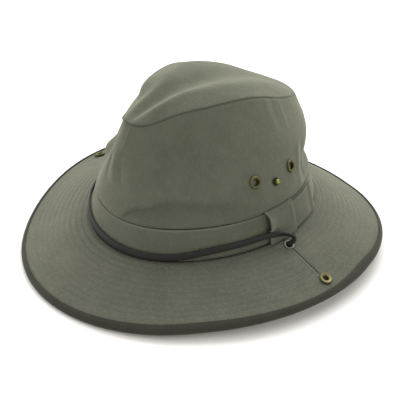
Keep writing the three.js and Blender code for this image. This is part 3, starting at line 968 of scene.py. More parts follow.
@dataclass(frozen=True)
class TwillCotton:
    """Brushed cotton twill: diagonal threads, a soft bloom at grazing angles, slight fading, and painted
    highlights and shade.
    """

    name: str = "brushed_cotton_twill"
    colour: str = "#5A5D4E"
    # A paler tone for random fading and flecks, and for painted highlights.
    faded_and_painted_highlight: str = "#6E7062"
    # A darker tone for the threads and fuzz, and for painted shade.
    shaded: str = "#414438"
    thread_mm: float = 1.7
    bump: float = 0.45
    roughness: float = 0.9
    sheen: float = 0.4
    sheen_colour: str = "#D0CCB8"
    flecks: float = 0.28
    fuzz: float = 0.28
    fleck_stretch: float = 0.16

    def make(self) -> bpy.types.Material:
        """Build the material.

        Returns:
            The material, which reads the piece's UV map in millimetres and its painted highlights and
            shade.
        """
        shading = Shading.start(self.name)
        place = shading.add("UVMap", uv_map="cloth").outputs[0]
        object_place = shading.add("TexCoord").outputs["Object"]
        # The real twill's threads are about 0.5 mm; they are drawn coarser so that they show.
        turn = {"Vector": place, "Rotation": (0, 0, math.radians(-30))}
        turned = shading.add("Mapping", turn).outputs[0]
        bands = {"Vector": turned, "Scale": 0.314 / self.thread_mm, "Distortion": 1.6, "Detail": 2.0}
        bands["Detail Scale"] = 2.0
        wave = shading.add("TexWave", bands, wave_type="BANDS", bands_direction="X")
        patch = shading.spread(shading.noise(place, 0.07, 3.0, 0.6), (0.4, 0.62), (0.1, 1))
        twill = shading.times(wave.outputs["Color"], patch)
        slub = shading.noise(shading.scaled(place, (0.9, self.fleck_stretch, 1)), 1.0, 3.0)
        cloud = shading.noise(object_place, 32.0, 4.0, 0.6)
        fuzz = shading.noise(place, 0.55, 5.0, 0.75)
        # The painted highlights and painted shade that the piece carries on its points.
        mottle_and_painted_shading = shading.painted_shading()
        faded_and_painted_highlight, shaded = linear(self.faded_and_painted_highlight), linear(self.shaded)
        tone = linear(self.colour)
        for factor, towards in (
            (shading.spread(cloud, (0.35, 0.68), (0, 0.34)), faded_and_painted_highlight),
            (shading.times(twill, 0.2), shaded),
            (shading.spread(fuzz, (0.4, 0.7), (0, self.fuzz)), shaded),
            (shading.spread(slub, (0.53, 0.64), (0, self.flecks)), faded_and_painted_highlight),
            # Painted highlight where the piece's value is above 0, painted shade where it is below 0.
            (shading.times(mottle_and_painted_shading, 0.75, clamp=True), faded_and_painted_highlight),
            (shading.times(mottle_and_painted_shading, -1.0, clamp=True), shaded),
        ):
            tone = shading.mix(factor, tone, towards)
        height = shading.sum(shading.sum(twill, slub), fuzz)
        return shading.finish(height, self.bump, 0.0004, {
            "Base Color": tone, "Roughness": self.roughness, "Specular IOR Level": 0.25,
            "Sheen Weight": self.sheen, "Sheen Roughness": 0.45, "Sheen Tint": linear(self.sheen_colour),
        })


@dataclass(frozen=True)
class PlainFinish:
    """Tape, thread or leather: one colour with a fine grain, paler mottling, and painted highlights where
    the piece carries them.
    """

    name: str
    colour: str
    # A paler tone, for random mottling and for painted highlights.
    mottle_and_painted_shading: str
    grain_mm: float
    roughness: float
    bump: float
    sheen: float = 0.0
    metallic: float = 0.0
    specular: float = 0.5

    def make(self) -> bpy.types.Material:
        """Build the material.

        Returns:
            The material, which reads Object coordinates and the piece's painted highlights.
        """
        shading = Shading.start(self.name)
        place = shading.add("TexCoord").outputs["Object"]
        fine = shading.noise(place, 1 / (self.grain_mm * MM), 4.0, 0.65)
        broad = shading.noise(place, 60.0, 3.0)
        tone = linear(self.colour)
        for factor in (
            shading.spread(broad, (0.35, 0.7), (0, 0.45)),
            shading.spread(fine, (0.35, 0.75), (0, 0.35)),
            # Painted highlight where the piece's value is above 0.
            shading.times(shading.painted_shading(), 0.8, clamp=True),
        ):
            tone = shading.mix(factor, tone, linear(self.mottle_and_painted_shading))
        rough = shading.spread(fine, (0, 1), (self.roughness - 0.08, min(self.roughness + 0.1, 1)))
        return shading.finish(fine, self.bump, 0.0003, {
            "Base Color": tone, "Roughness": rough, "Metallic": self.metallic,
            "Specular IOR Level": self.specular, "Sheen Weight": self.sheen,
        })


class Finishes:
    """Every material of the hat, made once."""

    def __init__(self) -> None:
        """Make the materials."""
        self.crown = TwillCotton().make()
        self.brim = TwillCotton(
            "stiffened_cotton_twill", "#5B5D4F", "#737466", "#3C3E34",
            flecks=0.42, fuzz=0.36, fleck_stretch=0.3,
        ).make()
        self.tape = PlainFinish(
            "woven_cotton_tape", "#2B2B21", "#3D3C31", 0.9, 0.8, 0.4, sheen=0.08, specular=0.3
        ).make()
        self.thread = PlainFinish("spun_polyester_thread", "#3F4136", "#626356", 0.35, 0.7, 0.3).make()
        self.lace = PlainFinish(
            "waxed_leather_lace", "#100F0D", "#211E1A", 0.8, 0.55, 0.35, specular=0.42
        ).make()
        self.brass = PlainFinish("antique_brass", "#524E38", "#7D7852", 0.7, 0.42, 0.2, metallic=1).make()
        self.nickel = PlainFinish("dull_nickel", "#77746A", "#A19E92", 0.6, 0.42, 0.2, metallic=1).make()
        # A darker copy of the brass for the stud's washer: painted shade.
        self.shaded_brass = PlainFinish(
            "shaded_brass", "#24231A", "#403E2E", 0.6, 0.5, 0.2, metallic=1
        ).make()
        # A lighter copy of the brass for the stud's ball: a painted highlight.
        self.highlight_brass = PlainFinish(
            "highlight_brass", "#83863A", "#A3A658", 0.6, 0.34, 0.08, metallic=1
        ).make()


def dress(piece: bpy.types.Object, material: bpy.types.Material, slot: Slot, *nodes: str) -> None:
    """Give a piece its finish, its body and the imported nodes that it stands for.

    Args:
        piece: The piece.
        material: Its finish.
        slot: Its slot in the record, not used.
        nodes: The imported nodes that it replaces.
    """
    piece.data.materials.clear()
    piece.data.materials.append(material)
    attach(piece, "root")
    if nodes:
        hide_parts(*nodes)
    LOG.info("%s: %d faces", piece.name, len(piece.data.polygons))


# The camera and the room


# Soft lights: bearing from the camera towards its right, elevation, distance, width, power in watts.
TENT = {
    "tent_left": (-105, 26, 1.6, 1.4, 9.5),
    "tent_back": (180, 48, 1.7, 1.6, 26),
    "tent_back_right": (140, 40, 1.7, 1.4, 13),
    "tent_top": (0, 86, 1.5, 1.4, 6),
    "tent_front_left": (-50, 30, 1.8, 1.2, 6),
    "tent_front_right": (50, 30, 1.8, 1.2, 8),
}


def way_to(azimuth: float, elevation: float) -> Vector:
    """The direction of an azimuth and elevation in degrees, from the front towards the left."""
    az, el = math.radians(azimuth), math.radians(elevation)
    return Vector((math.sin(az) * math.cos(el), -math.cos(az) * math.cos(el), math.sin(el)))


@dataclass
class Studio:
    """The photograph's camera, a pale floor and a soft light tent."""

    azimuth: float = 44.1245
    elevation: float = 34.0089
    roll: float = 0.4263
    distance: float = 854.158
    lens: float = 88.954
    shift: tuple[float, float] = (-0.00674, -0.0145)

    def axes(self) -> tuple[Vector, Vector, Vector]:
        """The camera's right, up and back, in the resting frame.

        Returns:
            The three directions.
        """
        az, roll = math.radians(self.azimuth), math.radians(self.roll)
        back = way_to(self.azimuth, self.elevation)
        right = Vector((math.cos(az), math.sin(az), 0))
        up = back.cross(right)
        turned = math.cos(roll) * right + math.sin(roll) * up
        risen = -math.sin(roll) * right + math.cos(roll) * up
        turn = FORM.turn()
        return turn @ turned, turn @ risen, turn @ back

    def camera(self) -> None:
        """Set up the camera."""
        right, up, back = self.axes()
        data = bpy.data.cameras.new("photo_camera")
        data.lens = self.lens
        data.sensor_width = 36
        data.shift_x, data.shift_y = self.shift
        data.clip_start, data.clip_end = 0.05, 20
        piece = bpy.data.objects.new("photo_camera", data)
        bpy.context.collection.objects.link(piece)
        place = Matrix((right, up, back)).transposed().to_4x4()
        place.translation = Vector(settled(np.zeros(3))) + back * self.distance * MM
        piece.matrix_world = place
        bpy.context.scene.camera = piece

    def floor(self) -> None:
        """Lay the pale floor."""
        deselect_all()
        bpy.ops.mesh.primitive_plane_add(size=8, location=(0, 0, 0))
        piece = keep_as("studio_floor")
        shading = Shading.start("matt_white_paper")
        shader = shading.add("BsdfPrincipled", {
            "Base Color": linear("#F4F3F1"), "Roughness": 0.9, "Emission Color": linear("#D8CDB8"),
            "Emission Strength": 0.12,
        })
        shading.add("OutputMaterial", {"Surface": shader.outputs[0]})
        piece.data.materials.append(shading.material)

    def panel(self, name: str, side: float, rise: float, far: float, size: float, power: float) -> None:
        """Hang one soft light.

        Args:
            name: Its name.
            side: Its bearing from the camera, in degrees to the camera's right.
            rise: Its elevation in degrees.
            far: Its distance in metres.
            size: Its width in metres.
            power: Its power in watts.
        """
        data = bpy.data.lights.new(name, "AREA")
        data.shape = "SQUARE"
        data.size = size
        data.energy = power
        piece = bpy.data.objects.new(name, data)
        bpy.context.collection.objects.link(piece)
        way = way_to(self.azimuth + side, rise)
        piece.location = way * far + Vector((0, 0, 0.05))
        piece.rotation_euler = way.to_track_quat("Z", "Y").to_euler()

    def lights(self) -> None:
        """Light the tent: bright at both sides, above and behind, dimmer from the camera."""
        for name, settings in TENT.items():
            self.panel(name, *settings)
        world = bpy.data.worlds.new("tent_air")
        world.use_nodes = True
        air = world.node_tree.nodes["Background"].inputs
        air["Color"].default_value = (1, 1, 1, 1)
        air["Strength"].default_value = 0.3
        bpy.context.scene.world = world
        bpy.context.scene.view_settings.view_transform = "Standard"

    def build(self) -> None:
        """Make the camera, the floor and the lights."""
        self.camera()
        self.floor()
        self.lights()


# The hat's sub-assemblies


def along_profile(profile: Sequence[tuple[float, float]], v: Values) -> Points:
    """Follow a profile's points smoothly by the share of its length.

    Args:
        profile: Points of the profile.
        v: Shares of its length, 0 to 1.

    Returns:
        The profile's two coordinates at each share.
    """
    rows = np.asarray(profile, float)
    run = np.concatenate([[0], np.cumsum(np.hypot(*np.diff(rows, axis=0).T))])
    at = v * run[-1]
    return np.stack([smooth_through(run, rows[:, 0], at), smooth_through(run, rows[:, 1], at)], -1)


@dataclass(frozen=True)
class Knot:
    """A knot of the lace's path."""

    point: Points
    across: Points
    width: float
    thickness: float


def through_knots(knots: Sequence[Knot], share: Values) -> tuple[Points, Points]:
    """Follow a smooth curve through knots.

    Args:
        knots: The knots.
        share: Shares of the way through them, 0 to 1.

    Returns:
        Points, and unit vectors along the curve.
    """
    at = np.array([knot.point for knot in knots])
    full = np.vstack([2 * at[0] - at[1], at, 2 * at[-1] - at[-2]])
    place = np.clip(share, 0, 1) * (len(at) - 1)
    i = np.minimum(place.astype(int), len(at) - 2)
    k = (place - i)[:, None]
    p0, p1, p2, p3 = full[i], full[i + 1], full[i + 2], full[i + 3]
    pairs = ((p0, p1), (p1, p2), (p2, p3))
    d0, d1, d2 = (np.sqrt(np.linalg.norm(b - a, axis=1))[:, None] for a, b in pairs)
    t1 = ((p1 - p0) / d0 - (p2 - p0) / (d0 + d1) + (p2 - p1) / d1) * d1
    t2 = ((p2 - p1) / d1 - (p3 - p1) / (d1 + d2) + (p3 - p2) / d2) * d1
    c2 = -3 * p1 + 3 * p2 - 2 * t1 - t2
    c3 = 2 * p1 - 2 * p2 + t1 + t2
    return p1 + t1 * k + c2 * k**2 + c3 * k**3, unit(t1 + 2 * c2 * k + 3 * c3 * k**2)


@dataclass
class Ribbon:
    """A flat strip along knots, with rounded edges."""

    name: str
    knots: Sequence[Knot]
    columns: int
    around: int = 16

    def section(self, v: Values, width: Values, thickness: Values) -> tuple[Values, Values]:
        """The strip's section, a flat oval, at shares of the way round it.

        Args:
            v: Shares of the way round.
            width: Widths of the strip.
            thickness: Thicknesses of the strip.

        Returns:
            Distances across the strip and out of its face.
        """
        across, out = np.cos(2 * np.pi * v), np.sin(2 * np.pi * v)
        across = np.sign(across) * np.abs(across) ** 0.38 * width / 2
        return across, np.sign(out) * np.abs(out) ** 0.8 * thickness / 2

    def build(self, settle: bool) -> bpy.types.Object:
        """Sweep the strip.

        Args:
            settle: Whether the knots are in the hat frame.

        Returns:
            The piece.
        """
        widths = np.array([knot.width for knot in self.knots])
        thicks = np.array([knot.thickness for knot in self.knots])
        sides = np.array([knot.across for knot in self.knots])
        count = len(self.knots) - 1

        def place(u: Values, v: Values) -> Points:
            """Bend the grid round the strip.

            Args:
                u: Shares of the grid's columns, 0 to 1.
                v: Shares of its rows, 0 to 1.

            Returns:
                Points in the resting frame.
            """
            point, along = through_knots(self.knots, u)
            at = u * count
            i = np.minimum(at.astype(int), count - 1)
            k = at - i
            across = unit(sides[i] * (1 - k)[:, None] + sides[i + 1] * k[:, None])
            across = unit(across - along * (across * along).sum(-1, keepdims=True))
            face = np.cross(along, across)
            width = widths[i] * (1 - k) + widths[i + 1] * k
            thickness = thicks[i] * (1 - k) + thicks[i + 1] * k
            closed = (u > 1e-5) & (u < 1 - 1e-5)
            a, b = self.section(v, width * closed, thickness * closed)
            moved = point + across * a[:, None] + face * b[:, None]
            return settled(moved) if settle else moved * MM

        length = length_of(through_knots(self.knots, np.linspace(0, 1, 400))[0])
        piece = Sheet(self.name, self.columns, self.around, place, (length, 18.0)).build()
        merge_doubles(piece, outward=True)
        smooth_shade(piece, 60)
        return piece


# The lace over the band: bearing, height, distance out from the band's face.
LACE_OVER_BAND = (
    (-83, 10.6, 4.8), (-79, 10.2, 2.6), (-70, 9.8, 1.6), (-53, 8.8, 1.8), (-38, 7.8, 2.2),
    (-20, 6.4, 1.6), (0, 5.5, 1.6), (18, 4.2, 1.6), (36, 4.9, 1.6), (53, 8.5, 1.6),
    (70, 9.3, 1.6), (79, 9.8, 2.6), (83, 10.2, 4.8),
)
# From the band to the eyelet: X, Y, Z, width, thickness, share of its turn on edge.
LACE_LOOP = (
    (93.6, -6.4, 9.2, 4.8, 1.8, 0.15),
    (96.6, -1.4, 8.0, 4.0, 2.0, 0.45),
    (100.2, 2.4, 5.0, 3.9, 2.2, 0.8),
    (100.6, 1.8, 1.8, 4.0, 2.2, 1.0),
)
# Below the eyelet and on the floor, in the resting frame, on the wearer's left; then its middle.
LACE_DOWN = ((97.5, 1.2, 18.0), (99.0, 6.0, 8.0))
LACE_ON_FLOOR = (
    (100.5, 16.0, 2.4), (100.5, 30.0, 1.1), (96.5, 50.0, 1.1), (87.0, 72.0, 1.1), (71.0, 92.0, 1.1),
    (50.0, 107.0, 1.1), (26.0, 115.5, 1.1),
)
LACE_MIDDLE = (0.0, 118.0, 1.1)


def mirrored(knots: Sequence[Knot]) -> list[Knot]:
    """The same knots on the wearer's other side, in reverse order."""
    flip = np.array([-1, 1, 1])
    return [Knot(k.point * flip, k.across * flip, k.width, k.thickness) for k in reversed(knots)]


@dataclass
class ChinLace:
    """The flat lace: over the band, through the brim at both sides, and loose on the floor."""

    width: float = 5.7
    thickness: float = 1.8
    eye_width: float = 4.0
    eye_thickness: float = 2.2
    above: float = 1.4
    below: float = 4.2

    def through(self, side: Side, depth: float) -> Points:
        """A point on a lace eyelet's line, at a depth below the brim's face."""
        place = on_brim(side.value * SIDE_BEARING, LACE_OUT)
        return place.point - place.normal * depth

    def eye(self, point: Points, across: tuple[float, float, float] = (1, 0, 0)) -> Knot:
        """A knot where the lace is drawn together."""
        return Knot(np.asarray(point), np.array(across, float), self.eye_width, self.eye_thickness)

    def front_knots(self) -> list[Knot]:
        """Knots of the stretch over the band, which narrows towards the sides.

        Returns:
            The knots, in the hat frame.
        """
        middle = []
        for bearing, height, out in LACE_OVER_BAND:
            at = np.array([float(bearing)])
            low, high = (FORM.band_point(at, np.array([z]), 0) for z in (FORM.band_bottom, FORM.band_top))
            narrowed = self.width - step_up(np.float64(abs(bearing) - 66), 5.0)
            point = FORM.band_point(at, np.array([height]), out)[0]
            middle.append(Knot(point, unit(high - low)[0], narrowed, self.thickness))
        loop = [
            Knot(np.array([x, y, z]), unit(np.array([twist, 0, 1 - twist])), width, thickness)
            for x, y, z, width, thickness, twist in LACE_LOOP
        ]
        depths = (-self.above, self.above, self.below)
        loop += [self.eye(self.through(Side.LEFT, depth)) for depth in depths]
        return [*mirrored(loop), *middle, *loop]

    def floor_knots(self) -> list[Knot]:
        """Knots of the loose stretch, in the resting frame.

        Returns:
            The knots, in millimetres.
        """

        def hanging(side: Side, depth: float) -> Points:
            """A point under an eyelet, in the resting frame."""
            return settled(self.through(side, self.below + depth)) / MM

        def flat(point: tuple[float, float, float]) -> Knot:
            """A knot that lies flat, across the way to the hat's middle."""
            return Knot(np.array(point), unit(np.array([*point[:2], 0.0])), self.width, self.thickness)

        depths = (FORM.gap + 0.1, 3.0)
        lie = [self.eye(point) for point in LACE_DOWN] + [flat(point) for point in LACE_ON_FLOOR]
        start = [self.eye(hanging(Side.LEFT, depth)) for depth in depths]
        end = [self.eye(hanging(Side.RIGHT, depth), (-1, 0, 0)) for depth in reversed(depths)]
        return [*start, *lie, flat(LACE_MIDDLE), *mirrored(lie), *end]

    def build(self, finishes: Finishes) -> None:
        """Make both stretches: the one over the band, and the loose one on the floor.

        Args:
            finishes: The hat's materials.
        """
        front = Ribbon("lace_front", self.front_knots(), 420).build(settle=True)
        dress(front, finishes.lace, Slot.LACE, "chin_lace_front")
        knots = self.floor_knots()
        loose = Ribbon("lace_loose", knots, 330).build(settle=False)
        dress(loose, finishes.lace, Slot.LACE, "chin_lace_under")
        path = through_knots(knots, np.linspace(0, 1, 100))[0] * MM
        length_of(path)


@dataclass(frozen=True)
class Crease:
    """A soft ridge along a line on the crown, below 0 where it is a trough."""

    start: tuple[float, float]
    end: tuple[float, float]
    width: float
    height: float

    def relief(self, bearing: Values, z: Values) -> Values:
        """Its height at places on the crown; bearings count as lengths at the wall's middle.

        Args:
            bearing: Bearings in degrees.
            z: Heights of the points.

        Returns:
            One height a place.
        """
        scale = math.radians(88)
        x = signed(bearing - self.start[0]) * scale
        y = z - self.start[1]
        dx = (self.end[0] - self.start[0]) * scale
        dy = self.end[1] - self.start[1]
        length = math.hypot(dx, dy)
        along = (x * dx + y * dy) / length
        aside = (x * dy - y * dx) / length
        past = np.maximum(np.maximum(-along, along - length), 0)
        return self.height * bell(aside, self.width) * bell(past, 5.0)


CREASES = (
    Crease((-4, 60), (-4, 73), 5.0, 1.0),
    Crease((-12.5, 58), (-12, 72), 3.4, -0.9),
    Crease((4, 62), (3.5, 76), 3.2, -0.8),
    Crease((12, 62), (14, 80), 5.5, 0.7),
    Crease((24, 58), (22, 76), 7.0, -0.5),
    Crease((36, 60), (50, 52), 7.0, 0.8),
    Crease((1, 80), (14, 86), 4.0, -0.6),
    Crease((6, 101), (2, 88), 2.6, 0.5),
    Crease((99, 98), (99.5, 88), 2.6, 0.35),
    Crease((104.5, 97), (104, 86), 3.0, -0.4),
    Crease((110.5, 90), (109.5, 81), 2.8, 0.35),
    Crease((114, 58), (110.5, 36), 3.6, 0.9),
    Crease((120, 56), (117, 36), 3.6, -0.7),
    Crease((126, 50), (104, 33), 4.0, -0.4),
    Crease((60, 46), (84, 33), 4.0, 0.5),
    Crease((152, 60), (150, 34), 4.5, 0.8),
    Crease((186, 56), (178, 34), 5.0, -0.9),
    Crease((214, 58), (220, 36), 5.0, 0.8),
    Crease((248, 70), (246, 44), 5.0, -0.7),
    Crease((262, 84), (268, 62), 4.5, 0.6),
)
# Height of the edge under which the front of the wall has sunk, by bearing.
SLUMP = (
    (-4, 20.0), (3, 26.7), (8.5, 36.7), (14.5, 42.3), (21.5, 44.4),
    (28, 47.8), (33, 47.6), (41, 45.3), (53.5, 45.1), (72, 43.0),
)


@dataclass
class CrownShell:
    """The crown's wall and tip: soft cloth with a sewn seam round the top."""

    columns: int = 420
    rows: int = 78
    tip_steps: int = 124
    foot_share: float = 0.2
    seam_half: float = 0.0008
    eyelet_hole: float = 3.4
    stud_hole: float = 1.6
    stitch_stations: tuple[float, ...] = (1.958, 1.999)
    layers: tuple[tuple[float, float, float], ...] = ((0.55, 34, 1), (0.22, 14, 2))

    def relief(self, bearing: Values, station: Values, points: Points) -> Values:
        """How far the cloth stands out from the plain form, in millimetres.

        Args:
            bearing: Bearings in degrees.
            station: Stations, as wide as the bearings.
            points: The same places as points.

        Returns:
            One height a place.
        """
        z = points[..., 2]
        soft = ripples(points, self.layers)
        folds = sum(crease.relief(bearing, z) for crease in CREASES) + self.slump(signed(bearing), z)
        soft = soft + folds * (station < 2)
        seam = -0.7 * bell(station - 2, 0.006)
        beside = bell(signed(bearing) - SIDE_BEARING, 16) + bell(signed(bearing) + SIDE_BEARING, 16)
        calm = 1 - beside * bell(z - 54, 12)
        band = FORM.band_point(bearing, FORM.band_top - 0.8, 0)
        wall = FORM.crown(bearing, np.full_like(bearing, 1.02))
        gap = np.hypot(band[..., 0], band[..., 1]) - np.hypot(wall[..., 0], wall[..., 1])
        over_band = (gap - 0.8) * step_up(station - 1.001, 0.0025) * bell(station - 1, 0.11)
        free = np.clip(station - 0.9, 0, 0.3) / 0.3
        return soft * calm * free + seam + over_band

    def slump(self, bearing: Values, z: Values) -> Values:
        """Where the front of the wall has sunk over itself just above the band.

        Args:
            bearing: Bearings in degrees.
            z: Heights of the points.

        Returns:
            One height a place.
        """
        crest = np.interp(bearing, *zip(*SLUMP), left=0, right=0)
        below = crest - z
        strength = step_up(bearing - 1, 1.0) * (1 - step_up(bearing - 58, 7.0))
        rest = np.clip(1 - below / np.maximum(crest - FORM.band_top - 1, 1), 0, 1)
        sunk = -3.6 * step_up(below - 1.2, 0.7) * rest**0.8
        return strength * (sunk + 0.5 * bell(below + 3.0, 4.0))

    def painted_shading(self, bearing: Values, station: Values) -> Values:
        """Painted shade in the groove over the band, in the sunk cloth and in the seam."""
        sunk = np.clip(self.slump(signed(bearing), FORM.crown(bearing, station)[..., 2]), None, 0)
        return 0.12 * sunk - 1.3 * bell(station - 1.01, 0.009) - 0.9 * bell(station - 2, 0.006)

    def cloth(self, bearing: Values, station: Values) -> Points:
        """The cloth's outer face, in the hat frame.

        Args:
            bearing: Bearings in degrees.
            station: Stations, as wide as the bearings.

        Returns:
            Points in the hat frame.
        """
        plain = FORM.crown(bearing, station)
        out = normals(FORM.crown, bearing, np.where(np.abs(station - 2) < 0.02, 2.0, station), 0, 3)
        return plain + out * self.relief(bearing, station, plain)[..., None]

    def side(self) -> bpy.types.Object:
        """Make the wall panel.

        Returns:
            The piece.
        """

        def station(v: Values) -> Values:
            """Station of a row."""
            climb = 1 + (v - self.foot_share) / (1 - self.foot_share) * (1 - self.seam_half)
            return np.where(v < self.foot_share, v / self.foot_share, climb)

        piece = Sheet(
            "crown_wall", self.columns, self.rows,
            lambda u, v: settled(self.cloth(u * 360, station(v))), (560, 108),
            # Painted shade in the groove over the band, in the sunk cloth and in the seam.
            painted_shading=lambda u, v: self.painted_shading(u * 360, station(v)),
        ).build()
        merge_doubles(piece)
        for side in Side:
            for bearing, height in VENTS.values():
                on_crown(side.value * bearing, height).pierce(piece, self.eyelet_hole)
            on_crown(side.value * STUD[0], STUD[1]).pierce(piece, self.stud_hole)
        thicken(piece, FORM.cloth)
        smooth_shade(piece, 70)
        return piece

    def tip(self) -> bpy.types.Object:
        """Make the tip panel from a square grid drawn out to the seam's ring.

        Returns:
            The piece.
        """

        def ring(u: Values, v: Values) -> tuple[Values, Values]:
            """Bearing and share of a grid point.

            Args:
                u: Shares of the grid's columns, 0 to 1.
                v: Shares of its rows, 0 to 1.

            Returns:
                The bearings and the shares of the way from the middle to the seam.
            """
            a, b = 2 * u - 1, 2 * v - 1
            share = np.maximum(np.abs(a), np.abs(b))
            wide = np.abs(a) >= np.abs(b)
            safe = np.where(share > 1e-9, share, 1)
            turn = np.where(wide, np.sign(a) * 45 * b / safe, 0)
            bearing = np.where(wide, np.where(a > 0, 90 + turn, 270 + turn), 0)
            lengthwise = 45 * a / safe
            bearing = np.where(~wide, np.where(b < 0, lengthwise, 180 - lengthwise), bearing)
            return bearing, share

        def place(u: Values, v: Values) -> Points:
            """Bend the grid over the tip."""
            bearing, share = ring(u, v)
            return settled(self.cloth(bearing, 3 - share * (1 - self.seam_half)))

        def cut(u: Values, v: Values) -> Points:
            """The panel's own plan, for its weave."""
            bearing, share = ring(u, v)
            return FORM.crown_tip(bearing, share)[..., :2]

        def mottle_and_painted_shading(u: Values, v: Values) -> Values:
            """Painted shade in the seam."""
            return -0.9 * bell(1 - ring(u, v)[1], 0.008)

        steps = self.tip_steps
        piece = Sheet("crown_top", steps, steps, place, cut=cut, painted_shading=mottle_and_painted_shading).build()
        thicken(piece, FORM.cloth)
        smooth_shade(piece, 70)
        return piece

    def seam_line(self, station: float, count: int = 700) -> tuple[Points, Points]:
        """A line of stitches round the crown at a station, and its normals.

        Args:
            station: Its station.
            count: How many points it has.

        Returns:
            Points in the hat frame, and unit vectors.
        """
        bearing = np.linspace(0, 360, count)
        at = np.full_like(bearing, station)
        return self.cloth(bearing, at), normals(FORM.crown, bearing, at, 0, 3)

    def build(self, finishes: Finishes) -> None:
        """Make the crown.

        Args:
            finishes: The hat's materials.
        """
        dress(self.side(), finishes.crown, Slot.COTTON, "crown_side")
        dress(self.tip(), finishes.crown, Slot.COTTON, "crown_tip")
        lines = [self.seam_line(station) for station in self.stitch_stations]
        sewn = StitchRow(length=1.7, pitch=3.1, thickness=0.5).sew("crown_topstitch", lines)
        dress(sewn, finishes.thread, Slot.COTTON)


@dataclass
class Brim:
    """The stiff brim: rows of topstitching, a seam at each side and tape round its rim."""

    columns: int = 480
    rows: int = 90
    crowd: float = 0.72
    stitch_pitch: float = 5.4
    stitch_first: float = 4.0
    stitch_rows: int = 10
    lace_hole: float = 3.8
    socket_hole: float = 3.3
    layers: tuple[tuple[float, float, float], ...] = ((0.45, 42, 4), (0.12, 13, 5))
    tape_thickness: float = 0.5
    seam_end: float = 44

    def bearing(self, u: Values) -> Values:
        """Bearing of a column; the columns stand closer together at the side seams."""
        return 360 * u + 360 * self.crowd * np.sin(4 * np.pi * u) / (4 * np.pi)

    def reach(self, bearing: Values) -> Values:
        """Width of the brim's cloth at a bearing, in millimetres."""
        ones = np.ones_like(bearing)
        return np.linalg.norm(FORM.brim_top(bearing, ones) - FORM.brim_top(bearing, 0 * ones), axis=-1)

    def stitch_outs(self) -> list[float]:
        """How far out from the crown each row of topstitching runs."""
        return [self.stitch_first + i * self.stitch_pitch for i in range(self.stitch_rows)]

    def beside_seams(self, bearing: Values, points: Points) -> list[Values]:
        """How far places lie beside the left and the right seam of the brim, in millimetres."""
        radius = np.hypot(points[..., 0], points[..., 1])
        return [np.radians(signed(bearing - side.value * SIDE_BEARING)) * radius for side in Side]

    def near_rows(self, out: Values, spread: float) -> Values:
        """How near a place is to a row of topstitching, 1 on it."""
        return sum(bell(out - at, spread) for at in self.stitch_outs())

    def painted_row_groove_shade(self, bearing: Values, out: Values) -> Values:
        """Painted shade in the grooves of the topstitching rows, strongest near the crown at the front.
        """
        thick = bell(signed(bearing + 35), 50) * np.clip(1.35 - out / 22, 0, 1)
        return self.near_rows(out, 0.7) * (0.05 + 0.5 * thick)

    def relief(self, bearing: Values, out: Values, points: Points) -> Values:
        """How far the cloth stands out from the plain form, in millimetres.

        Args:
            bearing: Bearings in degrees.
            out: Distances out from the crown.
            points: The same places as points.

        Returns:
            One height a place.
        """
        soft = ripples(points, self.layers)
        rows = -0.27 * self.near_rows(out, 0.75)
        edge = np.clip((60 - out) / 12, 0, 1) * np.clip(out / 8, 0, 1)
        seam = sum(
            0.3 * bell(aside + 1.6, 1.0) - 0.8 * bell(aside, 0.5)
            for aside in self.beside_seams(bearing, points)
        )
        return soft * edge + rows + (out < self.seam_end) * seam - 0.9 * bell(out - 0.8, 0.9)

    def cloth(self, bearing: Values, station: Values) -> Points:
        """The cloth's top face, in the hat frame.

        Args:
            bearing: Bearings in degrees.
            station: Stations, as wide as the bearings.

        Returns:
            Points in the hat frame.
        """
        plain = FORM.brim_top(bearing, station)
        up = -normals(FORM.brim_top, bearing, station, 0, 1)
        return plain + up * self.relief(bearing, station * self.reach(bearing), plain)[..., None]

    def sheet(self) -> bpy.types.Object:
        """Make the brim's cloth.

        Returns:
            The piece.
        """

        def place(u: Values, v: Values) -> Points:
            """Bend the grid round the brim, its rows outwards."""
            return settled(self.cloth(self.bearing(u), 1 - v))

        def cut(u: Values, v: Values) -> Points:
            """The brim's plan, for its weave."""
            return FORM.brim_top(self.bearing(u), 1 - v)[..., :2]

        def brim_painted_shading(u: Values, v: Values) -> Values:
            """Painted shade in the side seams, at the foot of the band and in the stitch grooves, and a
            painted highlight beside the seams.

            Args:
                u: Shares of the grid's columns, 0 to 1.
                v: Shares of its rows, 0 to 1.

            Returns:
                The painted shading: painted shade below 0, painted highlight above 0.
            """
            bearing = self.bearing(u)
            seams = sum(
                0.5 * bell(aside + 1.3, 0.6) - 1.3 * bell(aside, 0.45)
                for aside in self.beside_seams(bearing, FORM.brim_top(bearing, 1 - v))
            )
            width = self.reach(bearing)
            out = (1 - v) * width
            return seams * (v * width > 17) - 1.3 * bell(out - 1.0, 1.0) - self.painted_row_groove_shade(bearing, out)

        piece = Sheet("brim_cloth", self.columns, self.rows, place, cut=cut, painted_shading=brim_painted_shading).build()
        merge_doubles(piece)
        for side in Side:
            for out, radius in ((LACE_OUT, self.lace_hole), (SOCKET_OUT, self.socket_hole)):
                on_brim(side.value * SIDE_BEARING, out).pierce(piece, radius)
        thicken(piece, FORM.brim_cloth)
        smooth_shade(piece, 70)
        return piece

    def binding(self) -> bpy.types.Object:
        """Make the tape that is folded over the rim.

        Returns:
            The piece.
        """
        tape, top = FORM.binding_width, FORM.gap + FORM.binding_cloth
        under = -FORM.brim_cloth - top
        profile = [
            (tape, 0.45), (tape - 0.3, top - 0.1), (4.6, top + 0.05), (0.6, top), (-0.9, 0.55),
            (-top, -0.8), (-1.0, under + 0.9), (0.2, under), (2.8, under - 0.6), (5.2, under - 0.4),
            (tape, under + 0.2), (tape, under + 0.9),
        ][::-1]

